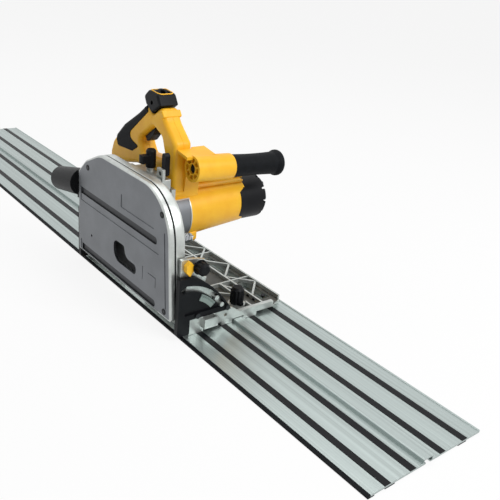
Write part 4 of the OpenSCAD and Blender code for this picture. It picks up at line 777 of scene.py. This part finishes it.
class SAW_OT_motor(bpy.types.Operator):
    """Rounds the motor housing, its end cap and the gear case."""

    bl_idname = "saw.motor"
    bl_label = "Motor"

    def execute(self, context):
        softened("motor_housing", sizes().small_edge)
        softened("end_cap", sizes().plastic_edge)
        softened("gear_case", sizes().cast_edge)
        softened("gear_plate", sizes().cast_edge)
        for node in ("carrier_pins", "stator", "field_coils", "ball_bearings", "brush_holders",
                     "carbon_brushes", "housing_screws", "power_switch", "spindle", "drive_gear",
                     "inner_flange", "blade", "outer_flange", "clamp_screw", "armature_shaft",
                     "armature_core", "commutator", "cooling_fan", "idler_gear"):
            repaint(node)
        self.case_front()
        self.cap_sleeve()
        self.boss_floor()
        self.foot()
        return {"FINISHED"}

    def case_front(self):
        """Side of the gear case that laps over the barrel, painted a darker grey as the shade on its metal,
        inside a bright rim.
        """
        low, high = -62, 42
        near, far = BARREL[0] - TRIM_PAST, -31
        rim, rim_proud = 1.6, 1.2
        turn = math.degrees(rim / BARREL_RADII[0])
        # The cover's darker grey on this panel is painted shade on the gear case's metal
        barrel_patch("case_front", "cover_grey", (low, high), lambda a: near, lambda a: far, TRIM_PROUD)
        barrel_patch("case_front_edge", "guard_silver", (low, high), lambda a: far, lambda a: far + rim,
                     rim_proud)
        barrel_patch("case_front_top", "guard_silver", (high, high + turn), lambda a: near,
                     lambda a: far + rim, rim_proud)

    def cap_sleeve(self):
        """Black edge of the end cap, which laps over the barrel's front and steps back at both ends."""
        low, high = -38, 44
        start, step, soft = 66.0, 9.0, 11.0

        def edge(angle):
            away = min(angle - low, high - angle) / soft
            share = min(1.0, max(0.0, away))
            return start + step * (1 - share * share * (3 - 2 * share))

        barrel_patch("cap_sleeve", "black_plastic", (low, high), edge, lambda a: BARREL[1] + TRIM_PAST,
                     TRIM_PROUD)

    def foot(self):
        """Foot under the barrel, over the shoe's opening, into which it goes at full depth."""
        corner = 2.0
        near, far, edge = -27.0, -12.2, 1.5
        outline = ((44, 100, corner), (44, 92, corner), (57, 92, corner), (61, 96.5, corner),
                   (61, 110, corner))
        shape = pillow(rounded_outline(outline), [], rim_levels(near, far, edge))
        finished("housing_foot", shape, "motor_unit", "housing_yellow", SHARP_ON_CURVES)

    def boss_floor(self):
        """Dark floors painted as the shade in the hole for the front handle's bolt and in the ring of cells
        round it.
        """
        self.boss_ring("boss_hole_floor", depths=(3.0, 5.0), radii=(0.5, BOSS_HOLE - 0.5))
        self.boss_ring("boss_floor", depths=(6.5, 8.8), radii=(BOSS_HOLE + 0.3, BOSS_RING))

    def boss_ring(self, name, depths, radii):
        """Flat ring in line with the tilted boss."""
        bm = bmesh.new()
        count = 48
        drop = Matrix.Rotation(-math.radians(BOSS_DROP), 3, "X")
        rings = []
        for depth in depths:
            for radius in radii:
                rings.append([])
                for k in range(count):
                    angle = 2 * math.pi * k / count
                    across = Vector((math.cos(angle), 0, math.sin(angle))) * radius
                    at = Vector(BOSS_AT) + drop @ (across + Vector((0, depth, 0)))
                    rings[-1].append(bm.verts.new(saw(*at)))
        for a, b in ((0, 1), (1, 3), (3, 2), (2, 0)):
            join_rings(bm, rings[a], rings[b])
        bmesh.ops.recalc_face_normals(bm, faces=bm.faces)
        finished(name, bm, "motor_unit", "black_plastic")


# Outlines of the main handle in mm from the saw's datum, as (x, z, corner radius)
HANDLE_OUTER = ((-138, 170, 8), (-100, 175, 30), (-55, 187, 20), (-14, 187, 8), (-6, 160, 8), (58, 160, 8),
                (54, 184, 10), (54, 246, 10), (26, 270, 30), (12.5, 290.5, 8), (-11, 274, 2), (-28, 284, 8),
                (-52, 266, 24), (-96, 238, 40), (-130, 205, 14), (-138, 186, 8))
HANDLE_HOLE = ((-34, 209, 8), (28, 215, 8), (16, 246, 9), (-8, 257, 9), (-48, 228, 9))
GRIP_OUTER = ((-110, 201, 8), (-66, 204, 6), (-47, 216, 2), (-64, 220, 6), (-81, 227, 8), (-22, 275, 2),
              (-28.5, 284.5, 2), (-52, 267, 24), (-96, 239, 40), (-124, 213, 8))
# A point on the grip's inner edge, and the way from there to the grip's back
GRIP_INNER = Vector((-81, 227))
GRIP_BACK = Vector((-0.63, 0.776))
# Both sides of the handle, the seam between its halves, and how far the grip and the band stand out
HANDLE_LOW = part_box("handle_left_shell")[0].y / MM
HANDLE_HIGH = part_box("handle_right_shell")[1].y / MM
HANDLE_SEAM = (HANDLE_LOW + HANDLE_HIGH) / 2
GRIP_PROUD = 0.8
# Middle of the black block's top, and its fall towards the front
BLOCK_TOP = (-9.5, HANDLE_SEAM, 307.1)
BLOCK_SLOPE = 0.08


class SAW_OT_handle(bpy.types.Operator):
    """Makes the rounded main handle with its rubber grip, and dresses the front handle."""

    bl_idname = "saw.handle"
    bl_label = "Handles"

    def execute(self, context):
        self.shells()
        self.grip()
        self.band()
        self.cord_rim()
        softened("handle_block", sizes().small_edge)
        softened("cord_inlet", sizes().small_edge)
        softened("front_handle", sizes().plastic_edge)
        for node in ("trigger", "plunge_release", "speed_dial", "blade_lock_lever", "depth_knob"):
            softened(node, sizes().small_edge)
        return {"FINISHED"}

    def shells(self):
        """Both halves of the handle, with the fine groove where they meet."""
        levels = rim_levels(HANDLE_LOW, HANDLE_HIGH, sizes().handle_edge / MM, HANDLE_SEAM)
        shape = pillow(rounded_outline(HANDLE_OUTER), [rounded_outline(HANDLE_HOLE)], levels)
        piece = finished("handle_shells", shape, "motor_unit", "housing_yellow", SHARP_ON_CURVES)
        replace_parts(piece, "handle_left_shell", "handle_right_shell")

    def grip(self):
        """Rubber grip, full at the back of the hand and thin where it meets the yellow strip."""
        across = 14.0
        thin = 0.12
        outline = pulled_in(turned(rounded_outline(GRIP_OUTER), True), -GRIP_PROUD)
        levels = rim_levels(HANDLE_LOW - GRIP_PROUD, HANDLE_HIGH + GRIP_PROUD, sizes().grip_edge / MM)
        shape = pillow(outline, [], levels,
                       lambda p: min(1.0, max(thin, (p - GRIP_INNER).dot(GRIP_BACK) / across)))
        piece = finished("handle_rubber", shape, "motor_unit", "rubber", SHARP_ON_CURVES)
        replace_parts(piece, "handle_grip")

    def band(self):
        """Raised band across the column's front, below the black block."""
        corner, edge = 2.0, 1.8
        outline = ((16.8, 286.2, corner), (22.9, 277.0, corner), (14.9, 271.7, corner), (8.8, 280.9, corner))
        levels = rim_levels(HANDLE_LOW - GRIP_PROUD, HANDLE_HIGH + GRIP_PROUD, edge)
        shape = pillow(rounded_outline(outline), [], levels)
        finished("handle_band", shape, "motor_unit", "housing_yellow", SHARP_ON_CURVES)

    def cord_rim(self):
        """Yellow edge round the cord's opening in the black block."""
        half_x, half_y, corner = 12.2, 12.5, 5.0
        level, bend, wire = 9.5, 6.5, 0.9
        corners = ((-half_x, -half_y, corner), (half_x, -half_y, corner), (half_x, half_y, corner),
                   (-half_x, half_y, corner))
        path = []
        for p in rounded_outline(corners):
            drop = max(0.0, abs(p.x) - level) ** 2 / (2 * bend)
            path.append(Vector(BLOCK_TOP) + Vector((p.x, p.y, -BLOCK_SLOPE * p.x - drop)))
        bar("cord_rim", path, wire, "motor_unit", "housing_yellow")


# Camera of the photograph: its axes, place, lens and sensor
CAMERA_AXES = ((0.61606, 0.78220, 0.09297), (-0.37104, 0.18405, 0.91020), (0.69484, -0.59523, 0.40361))
CAMERA_AT = (1.0685, -0.5685, 0.5107)
CAMERA_LENS = 48.75
CAMERA_SENSOR = 36
# Soft lights by name: place and width in metres, and power in watts, and the point of the saw they look at
LAMPS = {"key": ((2.1, 0.6, 1.7), 1.2, 38),
         "fill": ((-0.9, -1.7, 1.5), 1.4, 5),
         "top": ((-0.2, 0.4, 2.4), 1.8, 18)}
LAMP_AIM = (0, -60, 100)
# Half of the floor's width in metres, the share of its white that glows where it is seen,
# and the strength of the sky's light where the sky isn't seen
FLOOR_HALF = 40.0
FLOOR_GLOW = 0.88
SKY_LIGHT = 0.32


class SAW_OT_stage(bpy.types.Operator):
    """Sets the floor, the soft lights and the camera."""

    bl_idname = "saw.stage"
    bl_label = "Stage"

    def execute(self, context):
        context.scene.view_settings.view_transform = "Standard"
        self.floor()
        self.world(context.scene)
        for name, (place, size, watts) in LAMPS.items():
            self.lamp(name, place, size, watts)
        self.camera(context.scene)
        return {"FINISHED"}

    def camera(self, scene):
        """The photograph's camera."""
        data = bpy.data.cameras.new("camera")
        data.sensor_width = CAMERA_SENSOR
        data.lens = CAMERA_LENS
        data.clip_end = 100
        camera = linked("camera", data)
        turn = Matrix([Vector(axis) for axis in CAMERA_AXES]).transposed().to_4x4()
        camera.matrix_world = Matrix.Translation(CAMERA_AT) @ turn
        scene.camera = camera

    def lamp(self, name, place, size, watts):
        """A square soft light that looks at the saw."""
        data = bpy.data.lights.new(name, "AREA")
        data.size = size
        data.energy = watts
        lamp = linked(name, data)
        lamp.location = place
        aim = saw(*LAMP_AIM) - Vector(place)
        lamp.rotation_euler = aim.to_track_quat("-Z", "Y").to_euler()

    def seen(self, tree):
        """Socket that is 1 for the camera's rays and for reflections, and 0 for other light."""
        ray = add(tree, "ShaderNodeLightPath").outputs
        either = add(tree, "ShaderNodeMath", {0: ray["Is Camera Ray"], 1: ray["Is Glossy Ray"]},
                     operation="MAXIMUM")
        return either.outputs[0]

    def floor(self):
        """Wide white floor that shows almost white and keeps the saw's shadow."""
        bm = bmesh.new()
        corners = ((-1, -1), (1, -1), (1, 1), (-1, 1))
        bm.faces.new([bm.verts.new((x * FLOOR_HALF, y * FLOOR_HALF, 0)) for x, y in corners])
        mesh = mesh_of("floor", bm)
        material = bpy.data.materials.new("white_floor")
        tree = cleared(material)
        share = add(tree, "ShaderNodeMath", {0: self.seen(tree), 1: FLOOR_GLOW}, operation="MULTIPLY")
        paint = add(tree, "ShaderNodeBsdfDiffuse", {"Color": (0.9, 0.9, 0.9, 1)})
        glow = add(tree, "ShaderNodeEmission", {"Color": (1, 1, 1, 1), "Strength": 1.0})
        mix = add(tree, "ShaderNodeMixShader", {0: share.outputs[0], 1: paint.outputs[0], 2: glow.outputs[0]})
        add(tree, "ShaderNodeOutputMaterial", {"Surface": mix.outputs[0]})
        mesh.materials.append(material)
        linked("floor", mesh)

    def world(self, scene):
        """Even pale light from all round, seen as white."""
        world = bpy.data.worlds.new("studio")
        tree = cleared(world)
        level = add(tree, "ShaderNodeMapRange",
                    {"Value": self.seen(tree), "To Min": SKY_LIGHT, "To Max": 1.0})
        sky = add(tree, "ShaderNodeBackground", {"Color": (1, 1, 1, 1), "Strength": level.outputs["Result"]})
        add(tree, "ShaderNodeOutputWorld", {"Surface": sky.outputs[0]})
        scene.world = world


class SAW_PT_panel(bpy.types.Panel):
    """The saw's pieces, sizes and colours."""

    bl_idname = "SAW_PT_panel"
    bl_label = "Track plunge saw"
    bl_space_type = "VIEW_3D"
    bl_region_type = "UI"
    bl_category = "Saw"

    def draw(self, context):
        for operator in OPERATORS:
            self.layout.operator(operator.bl_idname)
        for group in (context.scene.saw_sizes, context.scene.saw_colours):
            box = self.layout.box()
            for field in group.__annotations__:
                box.prop(group, field)


OPERATORS = (SAW_OT_rail, SAW_OT_shoe, SAW_OT_guard, SAW_OT_motor, SAW_OT_handle, SAW_OT_stage)
CLASSES = (SawColours, SawSizes, *OPERATORS, SAW_PT_panel)


def register():
    """Registers the classes and gives the scene its settings."""
    for cls in CLASSES:
        bpy.utils.register_class(cls)
    bpy.types.Scene.saw_colours = bpy.props.PointerProperty(type=SawColours)
    bpy.types.Scene.saw_sizes = bpy.props.PointerProperty(type=SawSizes)


def unregister():
    """Takes away what register adds."""
    del bpy.types.Scene.saw_sizes
    del bpy.types.Scene.saw_colours
    for cls in reversed(CLASSES):
        bpy.utils.unregister_class(cls)


def main():
    """Builds the whole saw."""
    register()
    make_finishes()
    for operator in OPERATORS:
        group, name = operator.bl_idname.split(".")
        getattr(getattr(bpy.ops, group), name)()


if __name__ == "__main__":
    main()
